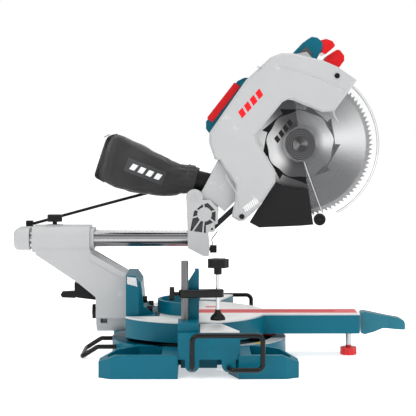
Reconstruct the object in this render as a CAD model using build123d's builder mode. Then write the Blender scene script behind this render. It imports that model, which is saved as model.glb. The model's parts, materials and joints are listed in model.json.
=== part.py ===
from build123d import *
import os
from math import atan2, cos, degrees, hypot, pi, radians, sin, sqrt

# Sliding mitre saw for a 255 mm blade. Millimetres, +Z up, +X towards the user.
# The origin is on the bench plane, on the axis that the turntable turns about.
# The blade side is -Y and the motor side is +Y.

# ---- driving dimensions -------------------------------------------------
BLADE_R = 127.5
BLADE_THICK = 2.4
TEETH = 96
TABLE_Z = 77.0
HINGE = (-7.9, 279.6)         # head hinge, X and Z
ARBOR = (177.4, 371.4)        # blade centre with the head up, X and Z
MOTOR = (120.0, 455.0)        # motor shaft, X and Z
DISC_R = 148.0
DISC_BOTTOM = 42.0
RING_R = 153.0
RING_TOP = 33.0
WING_OUT = 248.0
WING_R = 165.0
ARM_HALF = 38.0
ARM_END = 281.0
FENCE_BOW_R = 70.0
FENCE_GAP = 54.0
RAIL_R = 13.0
RAIL_Z = 206.3
RAIL_Y = 21.0
BAR_R = 4.0                   # black steel rod loops
GAP = 0.3                     # air between pieces that move past each other
GUARD_R = 137.5
FACE_Y = -42.0                # outer face of the upper guard
CASE_Y = 14.0                 # inner face of the head casting behind the blade
PORT_PLANE = Plane(origin=(-20, 0, 313), z_dir=(0.97, 0, -0.24))
KNUCKLE_R = 13.0
CHEEK_OUT = 38.0
CHEEK_IN = 29.0
KNUCKLE_HALF = 28.5

os.makedirs("parts", exist_ok=True)


def keep(part, name):
    """Label a finished piece and write it."""
    part.label = name
    export_step(part, f"parts/{name}.step")


def side(y):
    """Upright sketch plane at y: sketch x is X, sketch y is Z, extrusion goes to -Y."""
    return Plane.XZ.offset(-y)


def front(x):
    """Upright sketch plane at x: sketch x is Y, sketch y is Z, extrusion goes to +X."""
    return Plane.YZ.offset(x)


def level(z):
    """Flat sketch plane at z."""
    return Plane.XY.offset(z)


def shape(*points):
    """Closed polygon that keeps the coordinates it is given."""
    return Polygon(*points, align=None)


def polar(centre, radius, angle):
    """Point at an angle in degrees from a centre."""
    return (centre[0] + radius * cos(radians(angle)), centre[1] + radius * sin(radians(angle)))


def arc_points(centre, radius, start, end, count):
    """Evenly spaced points along an arc."""
    step = (end - start) / (count - 1)
    return [polar(centre, radius, start + step * i) for i in range(count)]


def mirrored(points):
    """The same outline on the other side of the X axis."""
    return [(x, -y) for x, y in reversed(points)]


# ---- base ----------------------------------------------------------------
SIDE_REAR = -34.0
ROD_LUG_X = (-11.0, 48.0)
FOOT_TOP = 38.0
BENCH_X = 95.0
BENCH_Y = 215.0
BENCH_HOLE_R = 4.5
PIVOT_R = 8.0
STABILISER_Y = 50.0
ROD_Z = 21.4
ROD_LOW = 18.0


def wing_outline(inset=0.0):
    """Plan of one fixed wing table, on the +Y side."""
    inner = WING_R + inset
    start = degrees(atan2(sqrt(inner**2 - SIDE_REAR**2), SIDE_REAR))
    arc = arc_points((0, 0), inner, start, 77.0, 9)
    return [(SIDE_REAR, WING_OUT - inset), *arc, (66 - inset, WING_OUT - inset)]


def foot_outline(front_foot):
    """Plan of one foot, on the +Y side."""
    if front_foot:
        return [(48, 118), (92, 118), (136, 176), (161, 200), (161, 238), (140, 252), (64, 252), (48, 200)]
    return [(-34, 110), (-88, 112), (-130, 170), (-162, 196), (-162, 236), (-142, 252), (-34, 252)]


def pocket_outline(front_foot):
    """Plan of the recess in the top of one foot."""
    if front_foot:
        return [(84, 150), (112, 158), (148, 206), (148, 232), (128, 240), (84, 240)]
    return [(-60, 150), (-100, 152), (-148, 204), (-148, 230), (-128, 240), (-60, 240)]


with BuildPart() as base_casting:
    with BuildSketch(level(6)):
        Circle(RING_R)
    extrude(amount=RING_TOP - 6)
    for hand in (1, -1):
        plan = wing_outline() if hand > 0 else mirrored(wing_outline())
        with BuildSketch(level(31)):
            shape(*plan)
        extrude(amount=TABLE_Z - 3 - 31)
        for front_foot in (True, False):
            foot = foot_outline(front_foot)
            pocket = pocket_outline(front_foot)
            with BuildSketch(level(0)):
                shape(*(foot if hand > 0 else mirrored(foot)))
            extrude(amount=FOOT_TOP)
            with BuildSketch(level(FOOT_TOP)):
                shape(*(pocket if hand > 0 else mirrored(pocket)))
            extrude(amount=-24, mode=Mode.SUBTRACT)
        # outer side wall of the foot slopes down to its end
        for end_x, slope in ((161, 1), (-162, -1)):
            with BuildSketch(side(hand * 185 + 100)):
                shape((end_x - slope * 30, FOOT_TOP + 1), (end_x + slope, FOOT_TOP + 1), (end_x + slope, 25))
            extrude(amount=200, mode=Mode.SUBTRACT)
        # round lugs that hold the extension bar
        with BuildSketch(side(WING_OUT if hand > 0 else -WING_OUT + 40)):
            for lug_x in ROD_LUG_X:
                with Locations((lug_x, 22)):
                    Circle(11.5)
                with Locations((lug_x, 30)):
                    Rectangle(23, 16)
        extrude(amount=40)
        # block behind the fence that takes the clamp post
        with BuildSketch(level(40)):
            with Locations((-17, hand * 210)):
                Rectangle(34, 56)
        extrude(amount=TABLE_Z + 11 - 40)
    # web between the ring and the wings
    with BuildSketch(level(6)):
        Rectangle(60, 360)
    extrude(amount=RING_TOP - 6)
    # clearance for the turntable
    with BuildSketch(level(RING_TOP)):
        Circle(WING_R)
    extrude(amount=80, mode=Mode.SUBTRACT)
    with BuildSketch(level(12)):
        Circle(RING_R - 26)
        Circle(24, mode=Mode.SUBTRACT)
    extrude(amount=RING_TOP, mode=Mode.SUBTRACT)
    # pockets under the wings, open downwards
    for hand in (1, -1):
        with BuildSketch(level(31)):
            with Locations((18, hand * 212)):
                Rectangle(70, 50)
        extrude(amount=32, mode=Mode.SUBTRACT)
    # bores: pivot, bench bolts, extension bars, stabiliser, clamp posts
    with Locations((0, 0, RING_TOP)):
        Hole(PIVOT_R + 0.05)
    for hand in (1, -1):
        with Locations((BENCH_X, hand * BENCH_Y, 14), (-BENCH_X, hand * BENCH_Y, 14)):
            Cylinder(BENCH_HOLE_R, 60, mode=Mode.SUBTRACT)
        with BuildSketch(side(hand * 240 + 60)):
            for lug_x in ROD_LUG_X:
                with Locations((lug_x, ROD_LOW)):
                    Circle(BAR_R + 0.1)
        extrude(amount=120, mode=Mode.SUBTRACT)
        with BuildSketch(front(-170)):
            with Locations((hand * STABILISER_Y, ROD_Z)):
                Circle(BAR_R)
        extrude(amount=60, mode=Mode.SUBTRACT)
        with Locations((-23.1, hand * 195, 60)):
            Cylinder(6.05, 80, mode=Mode.SUBTRACT)
keep(base_casting.part, "base_casting")

with BuildPart() as wing_plates:
    for hand in (1, -1):
        plan = [(x, y) for x, y in wing_outline(1.0) if x > 2]
        corner = [(2, WING_OUT - 1), (2, WING_R + 1)]
        plan = [corner[0], corner[1], *plan]
        with BuildSketch(level(TABLE_Z - 3)):
            shape(*(plan if hand > 0 else mirrored(plan)))
        extrude(amount=3)
keep(wing_plates.part, "wing_plates")

with BuildPart() as mitre_scale:
    with BuildSketch(level(RING_TOP)):
        Circle(RING_R - 1)
        Circle(RING_R - 24, mode=Mode.SUBTRACT)
        with Locations((-125, 0)):
            Rectangle(320, 400, mode=Mode.SUBTRACT)
    extrude(amount=1.2)
keep(mitre_scale.part, "mitre_scale")

FENCE_LOW = 108.0
FENCE_HIGH = 171.0             # outer end on the blade side
FENCE_FAR_HIGH = 130.0         # outer end on the motor side
FENCE_THICK = 7.0
FENCE_ENDS = 180.0
FENCE_BOLT_Y = (95.0, 135.0)
with BuildPart() as fence:
    for hand, end_top in ((1, FENCE_FAR_HIGH), (-1, FENCE_HIGH)):
        profile = [
            (FENCE_GAP, TABLE_Z + GAP), (FENCE_GAP, FENCE_LOW), (100, FENCE_LOW), (156, end_top - 7),
            (FENCE_ENDS, end_top), (FENCE_ENDS, TABLE_Z + GAP),
        ]
        with BuildSketch(front(-FENCE_THICK)):
            shape(*[(hand * y, z) for y, z in profile])
        extrude(amount=FENCE_THICK)
        # triangular ribs behind the face
        for rib_y, rib_top in ((178, end_top), (158, end_top - 11), (115, 108), (82, 102)):
            low = TABLE_Z + GAP
            reach = 24 if rib_y > 120 else 18
            with BuildSketch(side(hand * rib_y + 2)):
                shape((-4, rib_top), (-4, low), (-reach, low), (-reach, rib_top - 1.3 * reach))
            extrude(amount=4)
        # foot that the fence bolts pass through
        with BuildSketch(level(TABLE_Z + GAP)):
            with Locations((-14, hand * 117)):
                Rectangle(20, 126)
        extrude(amount=8)
    # bow that joins the two halves behind the blade
    with BuildSketch(level(TABLE_Z + GAP)):
        Circle(FENCE_BOW_R + 3)
        Circle(FENCE_BOW_R - 3, mode=Mode.SUBTRACT)
        with Locations((94, 0)):
            Rectangle(200, 200, mode=Mode.SUBTRACT)
    extrude(amount=22)
keep(fence.part, "fence")

with BuildPart() as base_bolts:
    with Locations((0, 0, 0.8)):
        Cylinder(13, 5, align=(Align.CENTER, Align.CENTER, Align.MIN))
        Cylinder(PIVOT_R, 59, align=(Align.CENTER, Align.CENTER, Align.MIN))
    for hand in (1, -1):
        for bolt_y in FENCE_BOLT_Y:
            with Locations((-14, hand * bolt_y, TABLE_Z + 8 + GAP)):
                Cylinder(6, 5, align=(Align.CENTER, Align.CENTER, Align.MIN))
    with BuildSketch(level(TABLE_Z + 11)):
        for hand in (1, -1):
            with Locations(*[(-14, hand * bolt_y) for bolt_y in FENCE_BOLT_Y]):
                RegularPolygon(3, 6)
    extrude(amount=6, mode=Mode.SUBTRACT)
keep(base_bolts.part, "base_bolts")

with BuildPart() as stabiliser_bar:
    with BuildLine():
        FilletPolyline(
            (-140, -STABILISER_Y, ROD_Z), (-176, -STABILISER_Y, ROD_Z), (-203, -STABILISER_Y, BAR_R + 0.3),
            (-203, STABILISER_Y, BAR_R + 0.3), (-176, STABILISER_Y, ROD_Z), (-140, STABILISER_Y, ROD_Z),
            radius=9,
        )
    with BuildSketch(Plane(origin=(-140, -STABILISER_Y, ROD_Z), z_dir=(-1, 0, 0))):
        Circle(BAR_R)
    sweep()
keep(stabiliser_bar.part, "stabiliser_bar")

BAR_Y = 272.0
BAR_INSIDE = 206.0
BAR_TOP = 73.0
for hand, bar_name in ((1, "extension_bar_right"), (-1, "extension_bar_left")):
    with BuildPart() as extension_bar:
        with BuildLine():
            FilletPolyline(
                (-11, hand * BAR_INSIDE, ROD_LOW), (-11, hand * BAR_Y, ROD_LOW), (-11, hand * BAR_Y, BAR_TOP),
                (101.5, hand * BAR_Y, BAR_TOP), (101.5, hand * BAR_Y, ROD_LOW), (48, hand * BAR_Y, ROD_LOW),
                (48, hand * BAR_INSIDE, ROD_LOW), radius=10,
            )
        with BuildSketch(Plane(origin=(-11, hand * BAR_INSIDE, ROD_LOW), z_dir=(0, hand, 0))):
            Circle(BAR_R)
        sweep()
    keep(extension_bar.part, bar_name)


# ---- work clamp ------------------------------------------------------------
POST = (-23.1, -195.0)
SCREW = (31.0, -187.0)
CLAMP_Z = 131.0
with BuildPart() as clamp_post:
    with Locations((*POST, 32)):
        Cylinder(6, 153, align=(Align.CENTER, Align.CENTER, Align.MIN))
    chamfer(clamp_post.edges().sort_by(Axis.Z)[-1], 1)
keep(clamp_post.part, "clamp_post")

with BuildPart() as clamp_arm:
    with BuildSketch(level(CLAMP_Z - 6.5)):
        SlotCenterToCenter(hypot(SCREW[0] - POST[0], SCREW[1] - POST[1]), 20,
                           rotation=degrees(atan2(SCREW[1] - POST[1], SCREW[0] - POST[0])))
    extrude(amount=13)
    fillet(clamp_arm.edges().filter_by(GeomType.LINE), 2.4)
clamp_middle = ((POST[0] + SCREW[0]) / 2, (POST[1] + SCREW[1]) / 2, 0)
with BuildPart() as clamp_arm_bored:
    add(clamp_arm.part.moved(Location(clamp_middle)))
    with Locations((*POST, CLAMP_Z)):
        Cylinder(6.05, 40, mode=Mode.SUBTRACT)
    with Locations((*SCREW, CLAMP_Z)):
        Cylinder(3.25, 40, mode=Mode.SUBTRACT)
    with BuildSketch(front(POST[0] - 6)):
        with Locations((POST[1], CLAMP_Z)):
            Circle(3)
    extrude(amount=-20, mode=Mode.SUBTRACT)
keep(clamp_arm_bored.part, "clamp_arm")

with BuildPart() as clamp_lock_knob:
    with BuildSketch(front(POST[0] - 7)):
        with Locations((POST[1], CLAMP_Z)):
            Circle(3)
    extrude(amount=-13)
    with BuildSketch(front(POST[0] - 17)):
        with Locations((POST[1], CLAMP_Z)):
            SlotOverall(23, 11, rotation=65)
    extrude(amount=-8)
keep(clamp_lock_knob.part, "clamp_lock_knob")

with BuildPart() as clamp_screw:
    with Locations((*SCREW, 99)):
        Cylinder(3.2, 80, align=(Align.CENTER, Align.CENTER, Align.MIN))
keep(clamp_screw.part, "clamp_screw")

with BuildPart() as clamp_knob:
    with BuildSketch(level(173)):
        Circle(15.5)
        with PolarLocations(14.4, 7):
            Circle(3.6)
    extrude(amount=14)
    with BuildSketch(level(162)):
        Circle(6.4)
    extrude(amount=11)
    with Locations((0, 0, 170)):
        Cylinder(3.2, 18.2, mode=Mode.SUBTRACT)
keep(clamp_knob.part.moved(Location((*SCREW, 0))), "clamp_knob")

with BuildPart() as clamp_pad:
    with BuildSketch(Plane.XZ):
        with BuildLine():
            Polyline((0, 87), (12.3, 87), (12.3, 90))
            Spline((12.3, 90), (8, 96), (4.5, 101), tangents=[(-0.4, 1), (-0.2, 1)])
            Polyline((4.5, 101), (4.5, 104), (3.2, 104), (3.2, 99), (0, 99), (0, 87))
        make_face()
    revolve(axis=Axis.Z)
keep(clamp_pad.part.moved(Location((*SCREW, 0))), "clamp_pad")

# ---- turntable ---------------------------------------------------------------
TRUNNION_X = -126.0
TRUNNION_HALF = 62.0
KERF_HALF = 3.5
BEVEL_STOPS = ((-90.0, -34.0, 85.5), (-90.0, 34.0, 85.5), (-99.0, -34.0, 102.0))
with BuildPart() as turntable:
    with BuildSketch(level(DISC_BOTTOM)):
        Circle(DISC_R)
        with Locations((-38, 0)):
            Circle(156, mode=Mode.INTERSECT)
        with Locations((ARM_END / 2, 0)):
            Rectangle(ARM_END, 2 * ARM_HALF)
    extrude(amount=TABLE_Z - 3 - DISC_BOTTOM)
    fillet(turntable.edges().filter_by(Axis.Z).sort_by(Axis.X)[-2:], 5)
    # hollow underside
    with BuildSketch(level(DISC_BOTTOM)):
        Circle(DISC_R - 12)
        with Locations((-38, 0)):
            Circle(144, mode=Mode.INTERSECT)
        Circle(22, mode=Mode.SUBTRACT)
        with Locations((190, 0)):
            Rectangle(120, 2 * ARM_HALF - 12)
    extrude(amount=14, mode=Mode.SUBTRACT)
    # hub that stands on the base
    with BuildSketch(level(RING_TOP + 0.3)):
        Circle(22)
    extrude(amount=DISC_BOTTOM - RING_TOP)
    with BuildSketch(level(RING_TOP)):
        Circle(PIVOT_R + 0.06)
    extrude(amount=27.4, mode=Mode.SUBTRACT)
    # trunnion that carries the bevel arm
    with BuildSketch(side(TRUNNION_HALF)):
        shape((TRUNNION_X, 36.7), (-109, 36.7), (-100, 44), (-73, 60), (-73, 74), (-96, 92), (-100, 132),
              (-110, 146), (TRUNNION_X, 146))
    extrude(amount=2 * TRUNNION_HALF)
    # window in the trunnion, and room for the fence bow
    with BuildSketch(level(TABLE_Z)):
        Circle(FENCE_BOW_R + 6)
    extrude(amount=80, mode=Mode.SUBTRACT)
    # corners cut back so that the trunnion passes the fence at full mitre
    with BuildSketch(level(TABLE_Z)):
        for hand in (1, -1):
            shape((-37.5, 0), (-108.2, hand * 66), (0, hand * 66), (0, 0))
    extrude(amount=80, mode=Mode.SUBTRACT)
    # flat back for the bevel arm
    with BuildSketch(side(200)):
        shape((-160, 30), (-160, 80), (TRUNNION_X, 80), (TRUNNION_X, 30))
    extrude(amount=400, mode=Mode.SUBTRACT)
    # spot faces and bores of the bevel stop screws
    for stop_x, stop_y, stop_z in BEVEL_STOPS:
        with BuildSketch(front(stop_x)):
            with Locations((stop_y, stop_z)):
                Circle(7)
        extrude(amount=20, mode=Mode.SUBTRACT)
        with BuildSketch(front(stop_x - 10)):
            with Locations((stop_y, stop_z)):
                Circle(4)
        extrude(amount=12, mode=Mode.SUBTRACT)
    # pivot bore of the bevel arm
    with BuildSketch(front(-140)):
        with Locations((0, TABLE_Z)):
            Circle(9.05)
    extrude(amount=50, mode=Mode.SUBTRACT)
    # channel under the kerf for the blade
    with BuildSketch(level(64)):
        with Locations((95, 0)):
            Rectangle(300, 16)
    extrude(amount=30, mode=Mode.SUBTRACT)
    # bore of the front foot
    with Locations((264.3, 0, 50)):
        Cylinder(5.05, 60, mode=Mode.SUBTRACT)
keep(turntable.part, "turntable")

with BuildPart() as table_plate:
    with BuildSketch(level(TABLE_Z - 3)):
        Circle(DISC_R - 2)
        with Locations((-38, 0)):
            Circle(154, mode=Mode.INTERSECT)
        with Locations((ARM_END / 2 - 1, 0)):
            Rectangle(ARM_END, 2 * ARM_HALF - 4)
        with Locations((110, 0)):
            Rectangle(334, 50.2, mode=Mode.SUBTRACT)
        with Locations((-111, 0)):
            Rectangle(86, 140, mode=Mode.SUBTRACT)
        with Locations((TRUNNION_X - 20, 0)):
            Rectangle(40.2, 200, mode=Mode.SUBTRACT)
    extrude(amount=3)
keep(table_plate.part, "table_plate")

with BuildPart() as kerf_board:
    with BuildSketch(level(TABLE_Z - 3)):
        with Locations((110, 0)):
            Rectangle(334, 50)
        with Locations((95, 0)):
            SlotOverall(290, 2 * KERF_HALF, mode=Mode.SUBTRACT)
    extrude(amount=3)
keep(kerf_board.part, "kerf_board")

with BuildPart() as mitre_pointer:
    with BuildSketch(level(RING_TOP + 1.6)):
        shape((112, -10), (112, 10), (124, 8), (136, 0), (124, -8))
    extrude(amount=2)
    with BuildSketch(level(RING_TOP + 3.6)):
        with Locations((117, 0)):
            Rectangle(8, 12)
    extrude(amount=DISC_BOTTOM - RING_TOP - 3.6)
keep(mitre_pointer.part, "mitre_pointer")

with BuildPart() as front_foot:
    with Locations((264.3, 0, 6)):
        Cylinder(5, 52, align=(Align.CENTER, Align.CENTER, Align.MIN))
    with BuildSketch(level(0)):
        with Locations((264.3, 0)):
            Circle(13.4)
            with PolarLocations(12.6, 12):
                Circle(1.8)
    extrude(amount=13.5)
keep(front_foot.part, "front_foot")

with BuildPart() as mitre_handle:
    with BuildSketch(side(17)):
        shape((284.5, 76), (292, 77), (354, 65), (361, 61), (365, 52), (364, 45), (323, 48), (308, 42),
              (291, 37.6), (284.5, 40))
    extrude(amount=34)
    fillet(mitre_handle.edges().filter_by(Axis.Y), 2)
    with BuildSketch(level(0)):
        with BuildLine():
            Polyline((284.5, -17), (284.5, 17), (305, 16))
            Spline((305, 16), (335, 11), (352, 14), (365, 0), tangents=[(1, -0.1), (0, -1)])
            Spline((365, 0), (352, -14), (335, -11), (305, -16), tangents=[(0, -1), (-1, -0.1)])
            Line((305, -16), (284.5, -17))
        make_face()
    extrude(amount=100, mode=Mode.INTERSECT)
keep(mitre_handle.part, "mitre_handle")


with BuildPart() as trunnion_bolts:
    with BuildSketch(front(-188)):
        with Locations((0, TABLE_Z)):
            Circle(9)
    extrude(amount=97)
    with BuildSketch(front(-188)):
        with Locations((0, TABLE_Z)):
            RegularPolygon(14, 6)
    extrude(amount=8)
    for stop_x, stop_y, stop_z in BEVEL_STOPS:
        with BuildSketch(front(stop_x - 10)):
            with Locations((stop_y, stop_z)):
                Circle(4)
        extrude(amount=12)
        with BuildSketch(front(stop_x)):
            with Locations((stop_y, stop_z)):
                RegularPolygon(6.5, 6)
        extrude(amount=9)
keep(trunnion_bolts.part, "trunnion_bolts")

# ---- bevel arm and slide housing ---------------------------------------------
HOUSING = (-290.0, -190.0)
HOUSING_Z = (183.5, 228.5)
HOUSING_HALF = 44.0
ARM_Y = 40.0
LEVER_Z = 107.0
KNOB_X = -253.7
with BuildPart() as bevel_arm:
    with BuildSketch(side(ARM_Y)):
        shape((-284, 190), (-283.5, 180.5), (-209, 130.4), (-179.7, 106.2), (-179.7, 69.9),
              (TRUNNION_X - GAP, 69.9), (TRUNNION_X - GAP, 146), (-185, 179), (-190, 190))
    extrude(amount=2 * ARM_Y)
    with BuildSketch(front(HOUSING[0])):
        with Locations((0, (HOUSING_Z[0] + HOUSING_Z[1]) / 2)):
            RectangleRounded(2 * HOUSING_HALF, HOUSING_Z[1] - HOUSING_Z[0], 17)
    extrude(amount=HOUSING[1] - HOUSING[0])
    with BuildSketch(front(HOUSING[1])):
        with Locations((0, RAIL_Z)):
            RectangleRounded(2 * HOUSING_HALF - 10, 36, 15)
    extrude(amount=7)
    # round boss about the bevel axis
    with BuildSketch(front(-179.7)):
        with Locations((0, TABLE_Z)):
            Circle(35)
    extrude(amount=TRUNNION_X - GAP + 179.7)
    # hollow back of the neck, open downwards and to the rear
    with BuildSketch(side(ARM_Y - 6)):
        shape((-290, 172), (-212, 120), (-172, 92), (-172, 60), (-160, 60), (-160, 112), (-222, 160), (-262, 178))
    extrude(amount=2 * ARM_Y - 12, mode=Mode.SUBTRACT)
    # raised rib along the front edge of the neck, both sides
    for rib_y in (ARM_Y + 2, -ARM_Y + 1):
        with BuildSketch(side(rib_y)):
            shape((-190, 184), (-127, 147), (-127, 137), (-190, 172))
        extrude(amount=3)
    # knob boss
    with BuildSketch(level(HOUSING_Z[1] - 3)):
        with Locations((KNOB_X, 0)):
            SlotOverall(30, 18)
    extrude(amount=5)
    for rail_y in (RAIL_Y, -RAIL_Y):
        with BuildSketch(front(-300)):
            with Locations((rail_y, RAIL_Z)):
                Circle(RAIL_R + 3)
        extrude(amount=130, mode=Mode.SUBTRACT)
    with BuildSketch(front(-180)):
        with Locations((0, TABLE_Z)):
            Circle(9.05)
    extrude(amount=60, mode=Mode.SUBTRACT)
    with BuildSketch(front(-190)):
        with Locations((0, LEVER_Z)):
            Circle(5.05)
    extrude(amount=70, mode=Mode.SUBTRACT)
    with Locations((KNOB_X, 0, 228)):
        Cylinder(4.05, 20, mode=Mode.SUBTRACT)
keep(bevel_arm.part, "bevel_arm")

with BuildPart() as slide_bearings:
    for bearing_x in (HOUSING[0] + 2, HOUSING[1] - 26):
        with BuildSketch(front(bearing_x)):
            with Locations((RAIL_Y, RAIL_Z), (-RAIL_Y, RAIL_Z)):
                Circle(RAIL_R + 3)
                Circle(RAIL_R + 0.05, mode=Mode.SUBTRACT)
        extrude(amount=30)
keep(slide_bearings.part, "slide_bearings")


with BuildPart() as bevel_lever:
    with BuildSketch(front(-192)):
        with Locations((0, LEVER_Z)):
            Circle(5)
    extrude(amount=60)
    with BuildSketch(side(11)):
        shape((-180.5, 98), (-180.5, 112), (-194, 118), (-207, 127.5), (-219, 128.5), (-219, 103), (-207, 101))
    extrude(amount=22)
    with BuildSketch(side(8)):
        shape((-218, 101), (-218, 113), (-241, 112), (-244, 107), (-241, 102))
    extrude(amount=16)
keep(bevel_lever.part, "bevel_lever")

with BuildPart() as slide_lock_knob:
    with Locations((KNOB_X, 0, 222)):
        Cylinder(4, 16, align=(Align.CENTER, Align.CENTER, Align.MIN))
    with BuildSketch(level(235.5)):
        with Locations((KNOB_X, 0)):
            SlotOverall(26, 15)
    extrude(amount=12.5)
    chamfer(slide_lock_knob.faces().sort_by(Axis.Z)[-1].edges(), 1.5)
keep(slide_lock_knob.part, "slide_lock_knob")

# ---- carriage: rails, end cap, hinge bracket -----------------------------------
CAP = (-322.0, -295.0)
with BuildPart() as slide_rails:
    with BuildSketch(front(-312)):
        with Locations((RAIL_Y, RAIL_Z), (-RAIL_Y, RAIL_Z)):
            Circle(RAIL_R)
            Circle(RAIL_R - 3, mode=Mode.SUBTRACT)
    extrude(amount=322)
keep(slide_rails.part, "slide_rails")

with BuildPart() as rail_end_cap:
    with BuildSketch(front(CAP[0])):
        with Locations((0, RAIL_Z)):
            RectangleRounded(2 * HOUSING_HALF - 4, 38, 16)
    extrude(amount=CAP[1] - CAP[0])
    fillet(rail_end_cap.faces().sort_by(Axis.X)[0].edges(), 8)
    with BuildSketch(front(-312)):
        with Locations((RAIL_Y, RAIL_Z), (-RAIL_Y, RAIL_Z)):
            Circle(RAIL_R)
    extrude(amount=40, mode=Mode.SUBTRACT)
keep(rail_end_cap.part, "rail_end_cap")

CHEEK = [
    (-20, 262), (8.2, 275.4), (19.7, 275.4), (34.2, 260.4), (32.5, 234.8), (18, 227.9), (16.3, 215.5), (18.4, 199.1),
    (17.2, 177.7), (6.8, 178.2), (-19.3, 191.5), (-19.8, 222.4), (-14, 262),
]
RIB_CENTRE = (9.6, 250.5)
LINK_FOOT = (22.5, 225.0)
LINK_ANGLE = 42.6
LINK_LENGTH = 70.0
LOCK_Z = 189.0
LOCK_Y = -22.0
with BuildPart() as hinge_bracket:
    for cheek_y in (CHEEK_OUT, -CHEEK_IN):
        with BuildSketch(side(cheek_y)):
            shape(*CHEEK[1:-1], (-22, 279.6))
            with Locations(HINGE):
                Circle(14.5)
        extrude(amount=CHEEK_OUT - CHEEK_IN)
    with BuildSketch(side(CHEEK_OUT)):
        shape((-19.6, 221), (16, 215), (18.4, 199.1), (17.2, 177.7), (6.8, 178.2), (-19.3, 191.5))
    extrude(amount=2 * CHEEK_OUT)
    # open recesses round a boss, with ribs left between them, on both outer faces
    for recess_y in (-CHEEK_OUT + 5, CHEEK_OUT + 1):
        with BuildSketch(side(recess_y)):
            shape((6, 268), (15.5, 270.5), (29, 257), (28.5, 238.5), (14.5, 231.5), (12, 218), (-15.5, 222),
                  (-8.5, 256))
            with Locations(RIB_CENTRE):
                Circle(12.5, mode=Mode.SUBTRACT)
            with Locations(HINGE):
                Circle(15, mode=Mode.SUBTRACT)
            for rib_angle in (95, 20, -38, -95, -125, 195, 150):
                with Locations(polar(RIB_CENTRE, 24, rib_angle)):
                    Rectangle(34, 2.6, rotation=rib_angle, mode=Mode.SUBTRACT)
        extrude(amount=6, mode=Mode.SUBTRACT)
    # ear and pocket for the foot of the guard link
    with BuildSketch(side(-CHEEK_IN - 3.7)):
        with Locations(LINK_FOOT):
            Circle(5.5)
        shape((12, 232), (12, 220), (24, 220), (28, 232))
    extrude(amount=CHEEK_OUT - CHEEK_IN - 3.7)
    with BuildSketch(side(-CHEEK_IN + 1)):
        shape((16, 218.5), (26, 217), (70, 232), (70, 270), (50, 258), (15, 228))
    extrude(amount=4.7, mode=Mode.SUBTRACT)
    with BuildSketch(side(-CHEEK_IN)):
        with Locations(LINK_FOOT):
            Circle(2.05)
    extrude(amount=CHEEK_OUT - CHEEK_IN, mode=Mode.SUBTRACT)
    with BuildSketch(side(CHEEK_OUT + 1)):
        with Locations(HINGE):
            Circle(8)
    extrude(amount=2 * CHEEK_OUT + 2, mode=Mode.SUBTRACT)
    for hand in (1, -1):
        with BuildSketch(front(-30)):
            with Locations((hand * RAIL_Y, RAIL_Z)):
                Circle(RAIL_R)
        extrude(amount=40, mode=Mode.SUBTRACT)
    with BuildSketch(front(0)):
        with Locations((LOCK_Y, LOCK_Z)):
            Circle(3.05)
    extrude(amount=40, mode=Mode.SUBTRACT)
keep(hinge_bracket.part, "hinge_bracket")

with BuildPart() as hinge_pin:
    with BuildSketch(side(CHEEK_OUT)):
        with Locations(HINGE):
            Circle(8)
    extrude(amount=2 * CHEEK_OUT)
keep(hinge_pin.part, "hinge_pin")

with BuildPart() as head_lock_pin:
    with BuildSketch(front(2)):
        with Locations((LOCK_Y, LOCK_Z)):
            Circle(3)
    extrude(amount=19)
    with BuildSketch(front(19)):
        with Locations((LOCK_Y, LOCK_Z)):
            Circle(6.4)
            with PolarLocations(6, 10):
                Circle(0.9)
    extrude(amount=12)
keep(head_lock_pin.part, "head_lock_pin")

with BuildPart() as guard_link:
    with BuildSketch(side(-CHEEK_IN - 0.3)):
        with Locations(polar(LINK_FOOT, LINK_LENGTH / 2, LINK_ANGLE)):
            SlotCenterToCenter(LINK_LENGTH, 9, rotation=LINK_ANGLE)
    extrude(amount=3)
    with BuildSketch(side(-CHEEK_IN - 3.3)):
        with Locations(LINK_FOOT):
            Circle(2)
    extrude(amount=4.5)
keep(guard_link.part, "guard_link")

# ---- lead from the rear of the slide to the head, tight between its two holders ----
LEAD_R = 2.6
LEAD_Y = 47.0
LEAD_ROUTE = [
    (-297, LEAD_Y, 228.5), (-255, LEAD_Y, 240), (-150, LEAD_Y, 268.5), (-60, LEAD_Y, 292), (-12, LEAD_Y, 303),
]
with BuildPart() as lead_holders:
    with BuildSketch(side(LEAD_Y + 5)):
        shape((-309, 221), (-297, 221), (-297, 234), (-309, 234))
    extrude(amount=15)
    with BuildSketch(level(212)):
        with Locations((-303, LEAD_Y - 6)):
            Rectangle(12, 8)
    extrude(amount=10)
    with BuildSketch(front(CAP[0])):
        with Locations((0, RAIL_Z)):
            RectangleRounded(2 * HOUSING_HALF - 4, 38, 16)
    extrude(amount=40, mode=Mode.SUBTRACT)
    with BuildSketch(side(LEAD_Y + 6)):
        shape((-12, 296), (0, 296), (0, 311), (-12, 311))
    extrude(amount=15)
    with BuildSketch(side(CHEEK_OUT + 4)):
        shape((-12, 312), (0, 312), (0, 268), (-12, 268))
    extrude(amount=4)
keep(lead_holders.part, "lead_holders")

with BuildPart() as lead:
    with BuildLine() as lead_path:
        FilletPolyline(*LEAD_ROUTE, radius=60)
    with BuildSketch(Plane(origin=LEAD_ROUTE[0], z_dir=lead_path.line % 0)):
        Circle(LEAD_R)
    sweep()
    for end_x in (LEAD_ROUTE[0][0] - 10, LEAD_ROUTE[-1][0] + 10):
        with Locations((end_x, LEAD_Y, 260)):
            Box(20, 20, 120, mode=Mode.SUBTRACT)
lead_length = lead_path.wires()[0].length
print("lead length", round(lead_length, 1), "volume ratio", round(lead.part.volume / (lead_length * pi * LEAD_R**2), 4))
keep(lead.part, "lead")

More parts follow.
